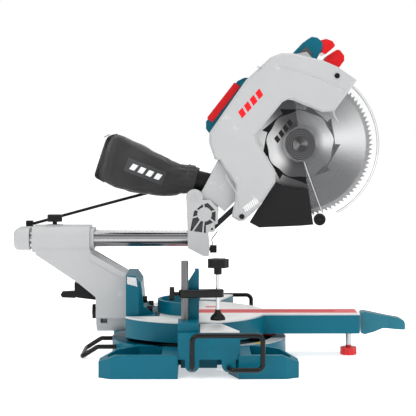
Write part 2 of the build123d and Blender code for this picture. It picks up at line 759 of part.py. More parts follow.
# ---- head: casting, upper guard, drive ------------------------------------------
COVER = [
    (68.4, 237.9), (55.4, 246.2), (61.5, 277.4), (62.1, 302.2), (36, 343.4), (27.7, 344.8), (18.1, 373.5),
    (18.2, 391.5), (82.4, 484), (124, 522.2), (142.5, 529.1), (162.2, 528.9), (212.9, 517), (239.2, 505.6),
    (272.6, 482.6), (258.7, 463.2), (233.5, 428.8), (212.9, 428.1), (162.4, 448.2), (153.3, 449.4),
    (144.1, 444.9), (102.8, 394.4), (98.3, 387.5), (100.3, 378.3), (131.5, 327.8), (132.7, 307.3),
    (103.8, 261.8), (78.9, 239.1),
]
HANDLE_NEAR = 24.0
PLATE = [(177, 532), (189, 543), (201, 531), (190, 520)]
NOSE = 16                     # index of the outline point at the foot of the nose
BACK = [*COVER[:NOSE], (262, 440), (215, 415), (200, 300), (132.7, 307.3), (103.8, 261.8), (80, 243)]
with BuildPart() as head_casting:
    with BuildSketch(side(CASE_Y + 5)):
        shape(*BACK[2:])
    extrude(amount=5)
    with BuildSketch(side(KNUCKLE_HALF)):
        shape((4.8, 289.6), (33.8, 343.1), (70, 350), (100, 330), (80, 282), (61.5, 272), (44.3, 254.6), (22, 274.4),
              (-1, 266))
        with Locations(HINGE):
            Circle(KNUCKLE_R)
    extrude(amount=2 * KNUCKLE_HALF)
    # gear side boss for the spindle bearing and the motor flange
    with BuildSketch(side(CASE_Y + 9)):
        with Locations(ARBOR):
            Circle(24)
    extrude(amount=5)
    # arm of the main handle and feet of the carry handle
    with BuildSketch(side(56)):
        shape((142, 480), (178, 474), (206, 516), (190, 534), (169, 530), (150, 518))
    extrude(amount=56 - CASE_Y - 5)
    with BuildSketch(side(HANDLE_NEAR)):
        shape(*PLATE)
    extrude(amount=1.7, mode=Mode.SUBTRACT)
    # swept clear of the blade and its lower guard
    with BuildSketch(side(CASE_Y)):
        with Locations(ARBOR):
            Circle(GUARD_R + 2.6)
    extrude(amount=2 * CASE_Y, mode=Mode.SUBTRACT)
    with BuildSketch(side(CHEEK_OUT)):
        with Locations(HINGE):
            Circle(8.06)
    extrude(amount=2 * CHEEK_OUT, mode=Mode.SUBTRACT)
    with BuildSketch(side(60)):
        with Locations(ARBOR):
            Circle(17)
        with Locations(MOTOR):
            Circle(7.5)
    extrude(amount=60 - CASE_Y + 1, mode=Mode.SUBTRACT)
    # dust passage through the arm
    with BuildSketch(PORT_PLANE):
        Circle(17)
    extrude(amount=62, mode=Mode.SUBTRACT)
keep(head_casting.part, "head_casting")

with BuildPart() as guard_cover:
    with BuildSketch(side(CASE_Y)):
        shape(*COVER)
    extrude(amount=CASE_Y - FACE_Y)
    chamfer(guard_cover.faces().sort_by(Axis.Y)[0].edges(), 4)
    with BuildSketch(side(CASE_Y)):
        shape(*COVER)
        offset(amount=-3.2, mode=Mode.REPLACE)
    extrude(amount=CASE_Y - FACE_Y - 3, mode=Mode.SUBTRACT)
    # the wall round the window and the lower rear stay open for blade, arm and link
    with BuildSketch(side(CASE_Y)):
        with Locations(ARBOR):
            Circle(GUARD_R + 2.2)
    extrude(amount=2 * CASE_Y, mode=Mode.SUBTRACT)
    with BuildSketch(side(CASE_Y)):
        shape((0, 200), (0, 350), (66, 350), (100, 335), (112, 262), (95, 225))
    extrude(amount=CASE_Y - FACE_Y - 3, mode=Mode.SUBTRACT)
keep(guard_cover.part, "guard_cover")

with BuildPart() as cover_screws:
    for screw in ((74.2, 247), (238, 490)):
        with BuildSketch(side(FACE_Y)):
            with Locations(screw):
                Circle(4.5)
        extrude(amount=2)
        with BuildSketch(side(FACE_Y - 1)):
            with Locations(screw):
                RegularPolygon(2.2, 6)
        extrude(amount=1, mode=Mode.SUBTRACT)
keep(cover_screws.part, "cover_screws")

with BuildPart() as deflector:
    with BuildSketch(side(-26)):
        shape((88, 236), (104.7, 227), (177.4, 230), (199.2, 232), *arc_points(ARBOR, 78, -81, -125, 7),
              (133, 300), (104, 262))
        with BuildSketch(mode=Mode.SUBTRACT):
            shape(*COVER)
            offset(amount=0.2)
    extrude(amount=3)
keep(deflector.part, "deflector")

with BuildPart() as dust_port:
    with BuildSketch(PORT_PLANE):
        Circle(17)
        Circle(14.5, mode=Mode.SUBTRACT)
    extrude(amount=50)
keep(dust_port.part, "dust_port")

SPINDLE_FAR = 40.0
with BuildPart() as spindle:
    with BuildSketch(side(SPINDLE_FAR)):
        with Locations(ARBOR):
            Circle(8)
    extrude(amount=SPINDLE_FAR + 8.5)
    with BuildSketch(side(13)):
        with Locations(ARBOR):
            Circle(15)
    extrude(amount=4)
keep(spindle.part, "spindle")

with BuildPart() as spindle_bearing:
    with BuildSketch(side(CASE_Y + 9)):
        with Locations(ARBOR):
            Circle(17)
            Circle(8.05, mode=Mode.SUBTRACT)
    extrude(amount=8.9)
keep(spindle_bearing.part, "spindle_bearing")

with BuildPart() as blade_flanges:
    for flange_y in (6.2, -BLADE_THICK / 2):
        with BuildSketch(side(flange_y)):
            with Locations(ARBOR):
                Circle(26)
                Circle(8, mode=Mode.SUBTRACT)
        extrude(amount=5)
keep(blade_flanges.part, "blade_flanges")

with BuildPart() as arbor_bolt:
    with BuildSketch(side(-8.5)):
        with Locations(ARBOR):
            Circle(13)
    extrude(amount=2)
    with BuildSketch(side(-10.5)):
        with Locations(ARBOR):
            Circle(7.5)
    extrude(amount=5)
    with BuildSketch(side(-12.5)):
        with Locations(ARBOR):
            RegularPolygon(4.5, 6)
    extrude(amount=3, mode=Mode.SUBTRACT)
keep(arbor_bolt.part, "arbor_bolt")

TOOTH = 360.0 / TEETH
blade_rim = []
for tooth in range(TEETH):
    blade_rim.append(polar(ARBOR, BLADE_R, tooth * TOOTH))
    blade_rim.append(polar(ARBOR, BLADE_R - 6.5, (tooth + 0.22) * TOOTH))
    blade_rim.append(polar(ARBOR, BLADE_R - 4.0, (tooth + 0.7) * TOOTH))
with BuildPart() as saw_blade:
    with BuildSketch(side(BLADE_THICK / 2)):
        shape(*blade_rim)
        with Locations(ARBOR):
            Circle(8, mode=Mode.SUBTRACT)
    extrude(amount=BLADE_THICK)
keep(saw_blade.part, "saw_blade")

# ---- lower guard: two clear discs and a rim ------------------------------------
GUARD_START = -79.6
GUARD_END = 98.0
guard_sector = [ARBOR, *arc_points(ARBOR, GUARD_R + 30, GUARD_START, GUARD_END, 7)]
with BuildPart() as lower_guard:
    for guard_y, inner in ((-9.8, 31.0), (12.4, 31.0)):
        with BuildSketch(side(guard_y)):
            with Locations(ARBOR):
                Circle(GUARD_R)
            Polygon(*guard_sector, align=None, mode=Mode.INTERSECT)
            with Locations(ARBOR):
                Circle(inner)
                Circle(27.3, mode=Mode.SUBTRACT)
        extrude(amount=2)
    with BuildSketch(side(12.4)):
        with Locations(ARBOR):
            Circle(GUARD_R)
            Circle(GUARD_R - 2.2, mode=Mode.SUBTRACT)
        Polygon(*guard_sector, align=None, mode=Mode.INTERSECT)
    extrude(amount=24.2)
    with BuildSketch(side(-11.8)):
        with Locations(polar(ARBOR, GUARD_R - 2, GUARD_START + 4)):
            Circle(7)
    extrude(amount=1.5)
keep(lower_guard.part, "lower_guard")

ROLLER = polar(ARBOR, GUARD_R - 2, GUARD_START + 4)
with BuildPart() as guard_roller:
    with BuildSketch(side(-13.4)):
        with Locations(ROLLER):
            Circle(10.5)
    extrude(amount=7)
    fillet(guard_roller.edges(), 1.5)
    with BuildSketch(side(-18)):
        with Locations(ROLLER):
            Circle(6)
            Circle(3.4, mode=Mode.SUBTRACT)
    extrude(amount=4, mode=Mode.SUBTRACT)
keep(guard_roller.part, "guard_roller")

# ---- belt drive and motor ----------------------------------------------------------
BELT_Y = 34.0
BELT_WIDE = 10.0
SPINDLE_PULLEY_R = 27.0
MOTOR_PULLEY_R = 15.0
MOTOR_HALF = 42.0
MOTOR_FAR = 178.0
COVER_FAR = 46.0
belt_line = degrees(atan2(MOTOR[1] - ARBOR[1], MOTOR[0] - ARBOR[0]))
belt_span = hypot(MOTOR[1] - ARBOR[1], MOTOR[0] - ARBOR[0])


def belt_loop(extra):
    """Hull round both pulleys in the present sketch, grown by extra."""
    lean = degrees(atan2(SPINDLE_PULLEY_R - MOTOR_PULLEY_R, belt_span))
    big = arc_points(ARBOR, SPINDLE_PULLEY_R + extra, belt_line + 90 - lean, belt_line + 270 + lean, 25)
    small = arc_points(MOTOR, MOTOR_PULLEY_R + extra, belt_line - 90 + lean, belt_line + 90 - lean, 19)
    return [*big, *small]


with BuildPart() as spindle_pulley:
    with BuildSketch(side(BELT_Y + BELT_WIDE / 2)):
        with Locations(ARBOR):
            Circle(SPINDLE_PULLEY_R - 0.4)
            Circle(8, mode=Mode.SUBTRACT)
    extrude(amount=BELT_WIDE)
keep(spindle_pulley.part, "spindle_pulley")

with BuildPart() as motor_pulley:
    with BuildSketch(side(BELT_Y + BELT_WIDE / 2)):
        with Locations(MOTOR):
            Circle(MOTOR_PULLEY_R - 0.4)
            Circle(6, mode=Mode.SUBTRACT)
    extrude(amount=BELT_WIDE)
keep(motor_pulley.part, "motor_pulley")

with BuildPart() as drive_belt:
    with BuildSketch(side(BELT_Y + BELT_WIDE / 2 - 1)):
        Polygon(*belt_loop(3.4), align=None)
        Polygon(*belt_loop(0.4), align=None, mode=Mode.SUBTRACT)
    extrude(amount=BELT_WIDE - 2)
keep(drive_belt.part, "drive_belt")

with BuildPart() as belt_cover:
    with BuildSketch(side(COVER_FAR)):
        Polygon(*belt_loop(9), align=None)
    extrude(amount=COVER_FAR - CASE_Y - 9)
    with BuildSketch(side(COVER_FAR - 3)):
        Polygon(*belt_loop(6), align=None)
    extrude(amount=COVER_FAR - 3 - CASE_Y - 9, mode=Mode.SUBTRACT)
    with BuildSketch(side(COVER_FAR)):
        with Locations(MOTOR):
            Circle(7)
    extrude(amount=3, mode=Mode.SUBTRACT)
    # clear of the handle arm beside it
    with BuildSketch(side(58)):
        shape((127, 469), (180, 469), (207, 516), (190, 536), (168, 532), (149, 519))
    extrude(amount=40, mode=Mode.SUBTRACT)
keep(belt_cover.part, "belt_cover")

with BuildPart() as motor_housing:
    with BuildSketch(side(MOTOR_FAR)):
        with Locations(MOTOR):
            Circle(MOTOR_HALF)
    extrude(amount=MOTOR_FAR - COVER_FAR)
    fillet(motor_housing.faces().sort_by(Axis.Y)[-1].edges(), 7)
    with BuildSketch(side(MOTOR_FAR - 4)):
        with Locations(MOTOR):
            Circle(MOTOR_HALF - 4)
    extrude(amount=MOTOR_FAR - COVER_FAR - 8, mode=Mode.SUBTRACT)
    with BuildSketch(side(COVER_FAR + 4)):
        with Locations(MOTOR):
            Circle(7)
    extrude(amount=4, mode=Mode.SUBTRACT)
    # cooling slots round the closed end
    with BuildSketch(side(MOTOR_FAR)):
        with Locations(MOTOR):
            with PolarLocations(22, 12):
                SlotOverall(16, 3.4)
    extrude(amount=4, mode=Mode.SUBTRACT)
    with BuildSketch(side(58)):
        shape((127, 469), (180, 469), (207, 516), (190, 536), (168, 532), (149, 519))
    extrude(amount=13, mode=Mode.SUBTRACT)
keep(motor_housing.part, "motor_housing")

with BuildPart() as motor_stator:
    with BuildSketch(side(145)):
        with Locations(MOTOR):
            Circle(MOTOR_HALF - 4)
            Circle(25, mode=Mode.SUBTRACT)
    extrude(amount=62)
keep(motor_stator.part, "motor_stator")

with BuildPart() as motor_armature:
    with BuildSketch(side(172)):
        with Locations(MOTOR):
            Circle(6)
    extrude(amount=172 - 28)
    with BuildSketch(side(143)):
        with Locations(MOTOR):
            Circle(24)
    extrude(amount=58)
    with BuildSketch(side(166)):
        with Locations(MOTOR):
            Circle(14)
    extrude(amount=16)
keep(motor_armature.part, "motor_armature")


# ---- handles ---------------------------------------------------------------------
HANDLE_FAR = 126.0
with BuildPart() as main_handle:
    for arm_y in (HANDLE_NEAR + 16, HANDLE_FAR):
        with BuildSketch(side(arm_y)):
            shape((150, 518.5), (169, 533), (190, 555), (199, 560.5), (209, 559), (218, 551), (218, 541), (206, 517),
                  (190, 534.5), (169, 530.5))
        extrude(amount=16)
    with BuildSketch(side(HANDLE_FAR)):
        shape((169, 530.5), (190, 534.5), (206, 517), (198, 503), (160, 503), (150, 518.5))
    extrude(amount=16)
    with BuildSketch(side(HANDLE_FAR)):
        shape((194, 549), (199, 560), (209, 559), (214, 554), (208, 544))
    extrude(amount=HANDLE_FAR - HANDLE_NEAR)
    # bridge under the far arm
    with BuildSketch(side(HANDLE_FAR)):
        shape((162, 503.2), (197, 503.2), (190, 488), (162, 488))
    extrude(amount=HANDLE_FAR - 57)
keep(main_handle.part, "main_handle")


with BuildPart() as main_grip:
    with BuildSketch(side(HANDLE_FAR - 2)):
        shape((214.5, 554.5), (225, 557), (236, 553), (241, 545), (234, 538), (224, 530), (216, 533), (218.3, 541),
              (218.3, 551.2))
    extrude(amount=HANDLE_FAR - HANDLE_NEAR - 4)
    fillet(main_grip.edges().filter_by(Axis.Y).sort_by(Axis.X)[-3:], 3)
keep(main_grip.part, "main_grip")

with BuildPart() as trigger:
    with BuildSketch(side(96)):
        shape((221, 518), (227.5, 527), (245, 538.5), (250, 538), (258, 528), (258, 519), (249, 507))
    extrude(amount=58)
    fillet(trigger.edges().filter_by(Axis.Y).sort_by(Axis.X)[-3:], 2.5)
keep(trigger.part, "trigger")

with BuildPart() as handle_plate:
    with BuildSketch(side(HANDLE_NEAR)):
        shape(*PLATE)
        with Locations((189, 532)):
            Circle(2.4, mode=Mode.SUBTRACT)
    extrude(amount=1.6)
keep(handle_plate.part, "handle_plate")

CARRY = [
    (51, 372), (24, 383), (12.5, 398), (12.5, 411), (68.5, 483), (80, 488.5), (92, 489), (80, 474), (76, 463),
    (32, 397), (60, 386),
]
GRIP = [(13.8, 417.4), (63, 480.5), (72.9, 472.9), (23.7, 409.8)]
with BuildPart() as carry_handle:
    with BuildSketch(side(58)):
        shape(*CARRY)
    extrude(amount=28)
    with BuildSketch(side(34)):
        with Locations((56, 379), (77, 478)):
            Circle(5)
    extrude(amount=34 - CASE_Y - 5)
    fillet(carry_handle.edges().filter_by(Axis.Y).sort_by(Axis.X)[:4], 3)
    # rebate that the soft grip fills
    with BuildSketch(side(59)):
        shape(*GRIP)
    extrude(amount=30, mode=Mode.SUBTRACT)
keep(carry_handle.part, "carry_handle")

with BuildPart() as carry_grip:
    with BuildSketch(side(59)):
        shape(*GRIP)
    extrude(amount=30)
    fillet(carry_grip.edges().group_by(Axis.X)[0], 2.5)
keep(carry_grip.part, "carry_grip")

# ---- dust bag ------------------------------------------------------------------------
BAG_HALF = 38.0
with BuildPart() as bag_collar:
    with BuildSketch(PORT_PLANE):
        Circle(21.5)
        Circle(17.05, mode=Mode.SUBTRACT)
    extrude(amount=17)
    with BuildSketch(side(40)):
        with Locations(HINGE):
            Circle(KNUCKLE_R + GAP)
    extrude(amount=80, mode=Mode.SUBTRACT)
keep(bag_collar.part, "bag_collar")

with BuildPart() as dust_bag:
    with BuildSketch(side(BAG_HALF)):
        shape((-12, 331), (-16, 330), (-40, 344), (-88, 369), (-134, 391.5), (-147, 393.5), (-157.5, 388),
              (-165, 372), (-173, 350), (-183.5, 317), (-175, 305), (-150, 294.5), (-95, 286), (-36, 283),
              (-28, 288))
    extrude(amount=2 * BAG_HALF)
    with BuildSketch(level(270)):
        shape((-19, 24), (-60, 34), (-120, 38), (-176, 30), (-188, 0), (-176, -30), (-120, -38), (-60, -34),
              (-19, -24))
    extrude(amount=130, mode=Mode.INTERSECT)
    with BuildSketch(PORT_PLANE.offset(-0.3)):
        Rectangle(120, 120)
    extrude(amount=40, mode=Mode.SUBTRACT)
keep(dust_bag.part, "dust_bag")
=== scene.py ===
import json
import math

import bmesh
import bpy
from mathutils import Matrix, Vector, noise
from mathutils.bvhtree import BVHTree


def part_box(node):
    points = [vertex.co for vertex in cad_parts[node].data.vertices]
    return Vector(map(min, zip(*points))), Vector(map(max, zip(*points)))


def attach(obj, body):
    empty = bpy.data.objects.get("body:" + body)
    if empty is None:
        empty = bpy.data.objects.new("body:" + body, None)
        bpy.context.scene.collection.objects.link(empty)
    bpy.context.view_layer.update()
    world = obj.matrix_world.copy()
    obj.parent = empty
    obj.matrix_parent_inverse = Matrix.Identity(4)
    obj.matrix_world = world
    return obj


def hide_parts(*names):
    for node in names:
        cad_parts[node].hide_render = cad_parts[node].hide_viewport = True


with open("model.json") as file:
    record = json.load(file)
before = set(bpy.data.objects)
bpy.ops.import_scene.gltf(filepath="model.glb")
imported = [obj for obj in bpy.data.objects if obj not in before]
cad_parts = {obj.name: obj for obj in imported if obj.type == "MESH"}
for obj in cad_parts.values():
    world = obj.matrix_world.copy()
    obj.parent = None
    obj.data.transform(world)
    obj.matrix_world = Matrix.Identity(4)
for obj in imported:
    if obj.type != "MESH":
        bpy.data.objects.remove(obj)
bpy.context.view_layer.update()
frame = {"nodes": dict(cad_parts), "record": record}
bpy.context.scene.view_settings.view_transform = "Standard"
MM = 0.001


# ---- shader maths ------------------------------------------------------------
class Value:
    """A shader socket that takes part in Python expressions."""

    def __init__(self, shader, socket):
        self.shader = shader
        self.socket = socket

    def _math(self, operation, *terms):
        return self.shader.node("ShaderNodeMath", {"operation": operation}, *terms)

    def __add__(self, other):
        return self._math("ADD", self, other)

    __radd__ = __add__

    def __sub__(self, other):
        return self._math("SUBTRACT", self, other)

    def __rsub__(self, other):
        return self._math("SUBTRACT", other, self)

    def __mul__(self, other):
        return self._math("MULTIPLY", self, other)

    __rmul__ = __mul__

    def __truediv__(self, other):
        return self._math("DIVIDE", self, other)

    def __gt__(self, other):
        return self._math("GREATER_THAN", self, other)

    def __lt__(self, other):
        return self._math("LESS_THAN", self, other)

    def between(self, low, high):
        return (self > low) * (self < high)

    def sin(self):
        return self._math("SINE", self)

    def fract(self):
        return self._math("FRACT", self)

    def power(self, exponent):
        return self._math("POWER", self, exponent)

    def smooth(self, low, high):
        """0 below low, 1 above high, smooth between."""
        settings = {"interpolation_type": "SMOOTHSTEP"}
        return self.shader.node("ShaderNodeMapRange", settings, self, low, high, 0.0, 1.0)


class Nodes:
    """One node tree; every node that is added to it comes from node()."""

    def __init__(self, owner):
        owner.use_nodes = True
        self.tree = owner.node_tree

    def node(self, kind, settings, *values, out=0, **named):
        """Any node: settings first, then values or links, by order or by name; None skips a socket."""
        made = self.tree.nodes.new(kind)
        for key, value in settings.items():
            setattr(made, key, value)
        for socket, value in [*zip(made.inputs, values), *((made.inputs[k], v) for k, v in named.items())]:
            if isinstance(value, Value):
                self.tree.links.new(value.socket, socket)
            elif value is not None:
                socket.default_value = value
        return Value(self, made.outputs[out])


NUMBER_AND_VECTOR_ENDS = (None,) * 5


class Finish(Nodes):
    """One material: a Principled shader and the nodes that feed it."""

    def __init__(self, name, **constants):
        self.material = bpy.data.materials.new(name)
        super().__init__(self.material)
        self.shader = self.tree.nodes["Principled BSDF"]
        for socket, value in constants.items():
            self.shader.inputs[socket.replace("_", " ")].default_value = value
        self.place = self.node("ShaderNodeTexCoord", {}, out="Object")

    def axes(self):
        """X, Y and Z of the place, in metres."""
        split = self.node("ShaderNodeSeparateXYZ", {}, self.place)
        outputs = split.socket.node.outputs
        return [Value(self, outputs[i]) for i in range(3)]

    def grain(self, scale, detail=3.0, place=None):
        return self.node("ShaderNodeTexNoise", {}, Vector=place or self.place, Scale=scale, Detail=detail)

    def stretched(self, x, y, z):
        """The place scaled unevenly, for brushed lines."""
        return self.node("ShaderNodeVectorMath", {"operation": "MULTIPLY"}, self.place, (x, y, z))

    def mix(self, amount, low, high):
        """Colour between low and high."""
        ends = [end if isinstance(end, Value) else (*end, 1.0) for end in (low, high)]
        inputs = [amount, *NUMBER_AND_VECTOR_ENDS, *ends]
        return self.node("ShaderNodeMix", {"data_type": "RGBA"}, *inputs, out=2)

    def bump(self, height, strength, distance=0.0005):
        result = self.node("ShaderNodeBump", {}, Strength=strength, Distance=distance, Height=height)
        self.feed("Normal", result)

    def feed(self, socket, value):
        self.tree.links.new(value.socket, self.shader.inputs[socket])


def shade(colour, factor):
    return tuple(min(1.0, c * factor) for c in colour)


def plain(name, colour, rough, grain=600.0, relief=0.15, spread=0.12, wear=0.0, **constants):
    """Paint or plastic with mottled colour, uneven gloss, a fine skin and light scuffs."""
    finish = Finish(name, **{"Specular_IOR_Level": 0.2, **constants})
    cloud = finish.grain(9.0)
    skin = finish.grain(grain, 2.0)
    scuff = finish.grain(55.0, 8.0).smooth(0.60, 0.72)
    tone = finish.mix(cloud, shade(colour, 1 - spread), shade(colour, 1 + spread))
    if wear:
        tone = finish.mix(scuff * wear, tone, shade(colour, 1.5))
    finish.feed("Base Color", tone)
    finish.feed("Roughness", rough - 0.05 + 0.1 * cloud + 0.12 * scuff)
    finish.bump(skin, relief, 0.0004)
    return finish.material


TEAL = (0.0, 0.118, 0.178)
SILVER = (0.46, 0.465, 0.47)
BLACK = (0.008, 0.008, 0.009)
RED = (0.70, 0.008, 0.012)
STEEL = (0.52, 0.52, 0.53)


def brushed(name, colour, rough, lines, strength=0.2):
    """Metal with fine lines along one axis; lines holds the stretch of each axis."""
    finish = Finish(name, Metallic=1.0)
    streak = finish.grain(1.0, 4.0, finish.stretched(*lines))
    cloud = finish.grain(14.0)
    finish.feed("Base Color", finish.mix(streak, shade(colour, 0.78), shade(colour, 1.15)))
    finish.feed("Roughness", rough + 0.12 * cloud + 0.08 * streak)
    finish.bump(streak, strength, 0.0002)
    return finish.material


def machined_plate():
    """Pale milled table top with turning marks about the pivot and fine stains."""
    finish = Finish("machined_plate", Metallic=0.25)
    x, y, _ = finish.axes()
    radius = (x * x + y * y).power(0.5)
    marks = (radius * 5200.0).sin()
    cloud = finish.grain(22.0, 5.0)
    finish.feed("Base Color", finish.mix(cloud, (0.62, 0.62, 0.61), (0.80, 0.80, 0.79)))
    finish.feed("Roughness", 0.34 + 0.14 * cloud)
    finish.bump(marks + 0.6 * finish.grain(900.0), 0.12, 0.0001)
    return finish.material


def degree_scale():
    """Silver arc with degree ticks and a yellow sector, no figures."""
    finish = Finish("degree_scale", Metallic=0.2)
    x, y, _ = finish.axes()
    radius = (x * x + y * y).power(0.5)
    angle = finish.node("ShaderNodeMath", {"operation": "ARCTAN2"}, y, x) * (180 / math.pi)
    fine = ((angle + 400.0).fract() < 0.16) * radius.between(0.143, 0.152)
    coarse = (((angle + 400.0) / 5.0).fract() < 0.045) * radius.between(0.136, 0.152)
    yellow = angle.between(-46.0, -38.0) * radius.between(0.131, 0.150)
    ground = finish.mix(finish.grain(40.0), (0.58, 0.59, 0.60), (0.74, 0.75, 0.76))
    ground = finish.mix(yellow, ground, (0.78, 0.55, 0.04))
    ink = fine + coarse
    finish.feed("Base Color", finish.mix(ink, ground, (0.02, 0.02, 0.02)))
    finish.feed("Roughness", 0.32 + 0.1 * finish.grain(60.0))
    return finish.material


def chrome_painted_reflections():
    """Chromed rod with painted reflections: dark and pale stripes along the polished bar, set by which way
    its surface faces up.
    """
    finish = Finish("chrome_rod", Metallic=1.0)
    upward = finish.node("ShaderNodeSeparateXYZ", {}, finish.node("ShaderNodeNewGeometry", {}, out=1), out=2)
    # painted reflection: dark and pale stripes by the upward facing of the surface, as a polished bar mirrors
    # the room
    painted_reflection_stripes = (upward * 6.3 + 0.8).sin() * 0.5 + 0.5
    streak = finish.grain(1.0, 4.0, finish.stretched(20.0, 700.0, 700.0))
    tone = finish.mix(painted_reflection_stripes, (0.07, 0.07, 0.073), (0.68, 0.68, 0.69))
    finish.feed("Base Color", finish.mix(streak * 0.25, tone, (0.30, 0.30, 0.31)))
    finish.feed("Roughness", 0.14 + 0.08 * streak)
    return finish.material


def blade_steel(centre):
    """Ground blade: turning rings, painted highlight and painted reflection as bright and dark sectors by
    angle, printed spiked ring, matt tooth band.
    """
    finish = Finish("blade_steel", Specular_IOR_Level=0.12)
    x, _, z = finish.axes()
    east = x - centre[0]
    up = z - centre[2]
    radius = (east * east + up * up).power(0.5)
    angle = finish.node("ShaderNodeMath", {"operation": "ARCTAN2"}, up, east)
    ring = finish.grain(1.0, 3.0, finish.node("ShaderNodeCombineXYZ", {}, radius * 2600.0, angle * 0.6, 0.0))
    # painted reflection: bright and dark sectors by angle round the arbor stand in for the highlights of
    # polished steel
    painted_sector_highlight = (angle * 2.0 + 1.05 + 0.5 * (angle * 3.0).sin()).sin() * 0.5 + 0.5
    painted_steel_reflection = painted_sector_highlight.power(2.2) * 0.9 + 0.1 * ring
    steel = finish.mix(painted_steel_reflection, (0.045, 0.045, 0.048), (0.92, 0.92, 0.93))
    band = radius.smooth(0.1145, 0.1165)
    steel = finish.mix(band, steel, finish.mix(finish.grain(300.0), (0.20, 0.20, 0.205), (0.34, 0.34, 0.345)))
    turn = (angle / (2 * math.pi) * 9.0 + 3.0).fract()
    inner_edge = 0.0580 + 0.0015 * (angle * 9.0).sin()
    printed = (radius > inner_edge) * (radius < (0.0612 + 0.0100 * turn.power(3.2)))
    ink = finish.mix(finish.grain(500.0), (0.004, 0.004, 0.005), (0.012, 0.012, 0.013))
    steel = finish.mix(printed, steel, ink)
    hub = 1 - radius.smooth(0.030, 0.046)
    steel = finish.mix(hub * 0.75, steel, (0.06, 0.06, 0.062))
    finish.feed("Base Color", steel)
    finish.feed("Roughness", 0.24 + 0.1 * ring + 0.25 * band + 0.3 * printed)
    finish.feed("Metallic", 0.92 - 0.92 * printed)
    finish.bump(ring, 0.25, 0.00015)
    return finish.material


def clear_plastic():
    """Clear guard with a faint haze."""
    finish = Finish("clear_guard", Base_Color=(0.86, 0.88, 0.90, 1), Specular_IOR_Level=0.6)
    finish.shader.inputs["Alpha"].default_value = 0.05
    haze = finish.grain(14.0, 4.0)
    finish.feed("Base Color", finish.mix(haze, (0.80, 0.82, 0.84), (0.93, 0.94, 0.95)))
    finish.feed("Roughness", 0.05 + 0.1 * haze)
    return finish.material


def bag_cloth(name, colour, thread=2400.0):
    """Black woven cloth: crossing threads, soft folds and dusty patches."""
    finish = Finish(name, Sheen_Weight=0.35, Sheen_Roughness=0.4)
    x, y, z = finish.axes()
    warp = ((x * 0.92 - z * 0.38) * thread).sin()
    weft = ((x * 0.38 + z * 0.92 + y * 0.6) * thread).sin()
    weave = warp * weft
    cloud = finish.grain(30.0, 6.0)
    dust = finish.grain(12.0, 4.0).smooth(0.45, 0.75)
    finish.feed("Base Color", finish.mix(dust * 0.5 + cloud * 0.3, shade(colour, 0.65), shade(colour, 1.9)))
    finish.feed("Roughness", 0.80 + 0.12 * cloud)
    finish.bump(weave * 0.5 + finish.grain(160.0, 5.0) * 1.5, 0.55, 0.0007)
    return finish.material


def striped(name, ground, ink, spacing):
    """Blank printed label: pale ground with plain bars and no lettering."""
    finish = Finish(name)
    x, _, z = finish.axes()
    bars = ((x + z * 0.4) * spacing).fract() < 0.30
    finish.feed("Base Color", finish.mix(bars * 0.7, ground, ink))
    finish.feed("Roughness", 0.35 + 0.2 * finish.grain(70.0))
    return finish.material


def casting(name, colour, rough, relief):
    """Painted casting: pebbled skin under a satin coat, paler on rubbed spots."""
    finish = Finish(name, Specular_IOR_Level=0.14, Coat_Roughness=0.2)
    cloud = finish.grain(7.0, 5.0)
    rubbed = finish.grain(38.0, 9.0).smooth(0.62, 0.74)
    pebble = finish.grain(520.0, 3.0)
    tone = finish.mix(cloud, shade(colour, 0.88), shade(colour, 1.12))
    finish.feed("Base Color", finish.mix(rubbed * 0.35, tone, shade(colour, 1.6)))
    finish.feed("Roughness", rough + 0.08 * cloud + 0.12 * rubbed)
    finish.feed("Coat Weight", 0.10 - 0.08 * rubbed)
    finish.bump(pebble + 0.5 * finish.grain(140.0, 2.0), relief, 0.0005)
    return finish.material


arbor_low, arbor_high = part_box("saw_blade")
ARBOR = [(low + high) / 2 for low, high in zip(arbor_low, arbor_high)]
FINISHES = {
    "teal_paint": casting("teal_paint", TEAL, 0.34, 0.16),
    "teal_plastic": plain("teal_plastic", TEAL, 0.45, 900.0, 0.25, wear=0.2),
    "silver_paint": casting("silver_paint", SILVER, 0.36, 0.10),
    "machined_plate": machined_plate(),
    "chrome_rod": chrome_painted_reflections(),
    "blade_steel": blade_steel(ARBOR),
    "plain_steel": brushed("plain_steel", STEEL, 0.28, (900.0, 900.0, 60.0)),
    "black_steel": plain("black_steel", (0.008, 0.008, 0.009), 0.20, 700.0, 0.06, 0.2, wear=0.5),
    "black_plastic": plain("black_plastic", BLACK, 0.48, 1100.0, 0.35, 0.25, wear=0.6),
    "red_plastic": plain("red_plastic", RED, 0.30, 800.0, 0.12, 0.10, wear=0.2, Coat_Weight=0.3),
    "grey_plastic": plain("handle_teal", (0.0, 0.13, 0.185), 0.30, 900.0, 0.15, wear=0.2, Coat_Weight=0.3),
    "clear_guard": clear_plastic(),
    "black_rubber": plain("black_rubber", BLACK, 0.62, 500.0, 0.3, 0.3),
    "bag_fabric": bag_cloth("bag_fabric", (0.020, 0.020, 0.021)),
}


def two_zone(name, low_colour, high_colour, axis, level_mm, low_metal, high_metal, rough=0.3):
    """One piece in two finishes that change at a height along an axis."""
    finish = Finish(name)
    high = finish.axes()[axis].smooth(level_mm * MM - 0.0002, level_mm * MM + 0.0002)
    cloud = finish.grain(40.0, 4.0)
    low_tone = finish.mix(cloud, shade(low_colour, 0.9), shade(low_colour, 1.1))
    high_tone = finish.mix(cloud, shade(high_colour, 0.85), shade(high_colour, 1.1))
    finish.feed("Base Color", finish.mix(high, low_tone, high_tone))
    finish.feed("Metallic", low_metal + (high_metal - low_metal) * high)
    finish.feed("Roughness", rough - 0.04 + 0.1 * cloud)
    finish.bump(finish.grain(900.0), 0.1, 0.0002)
    return finish.material


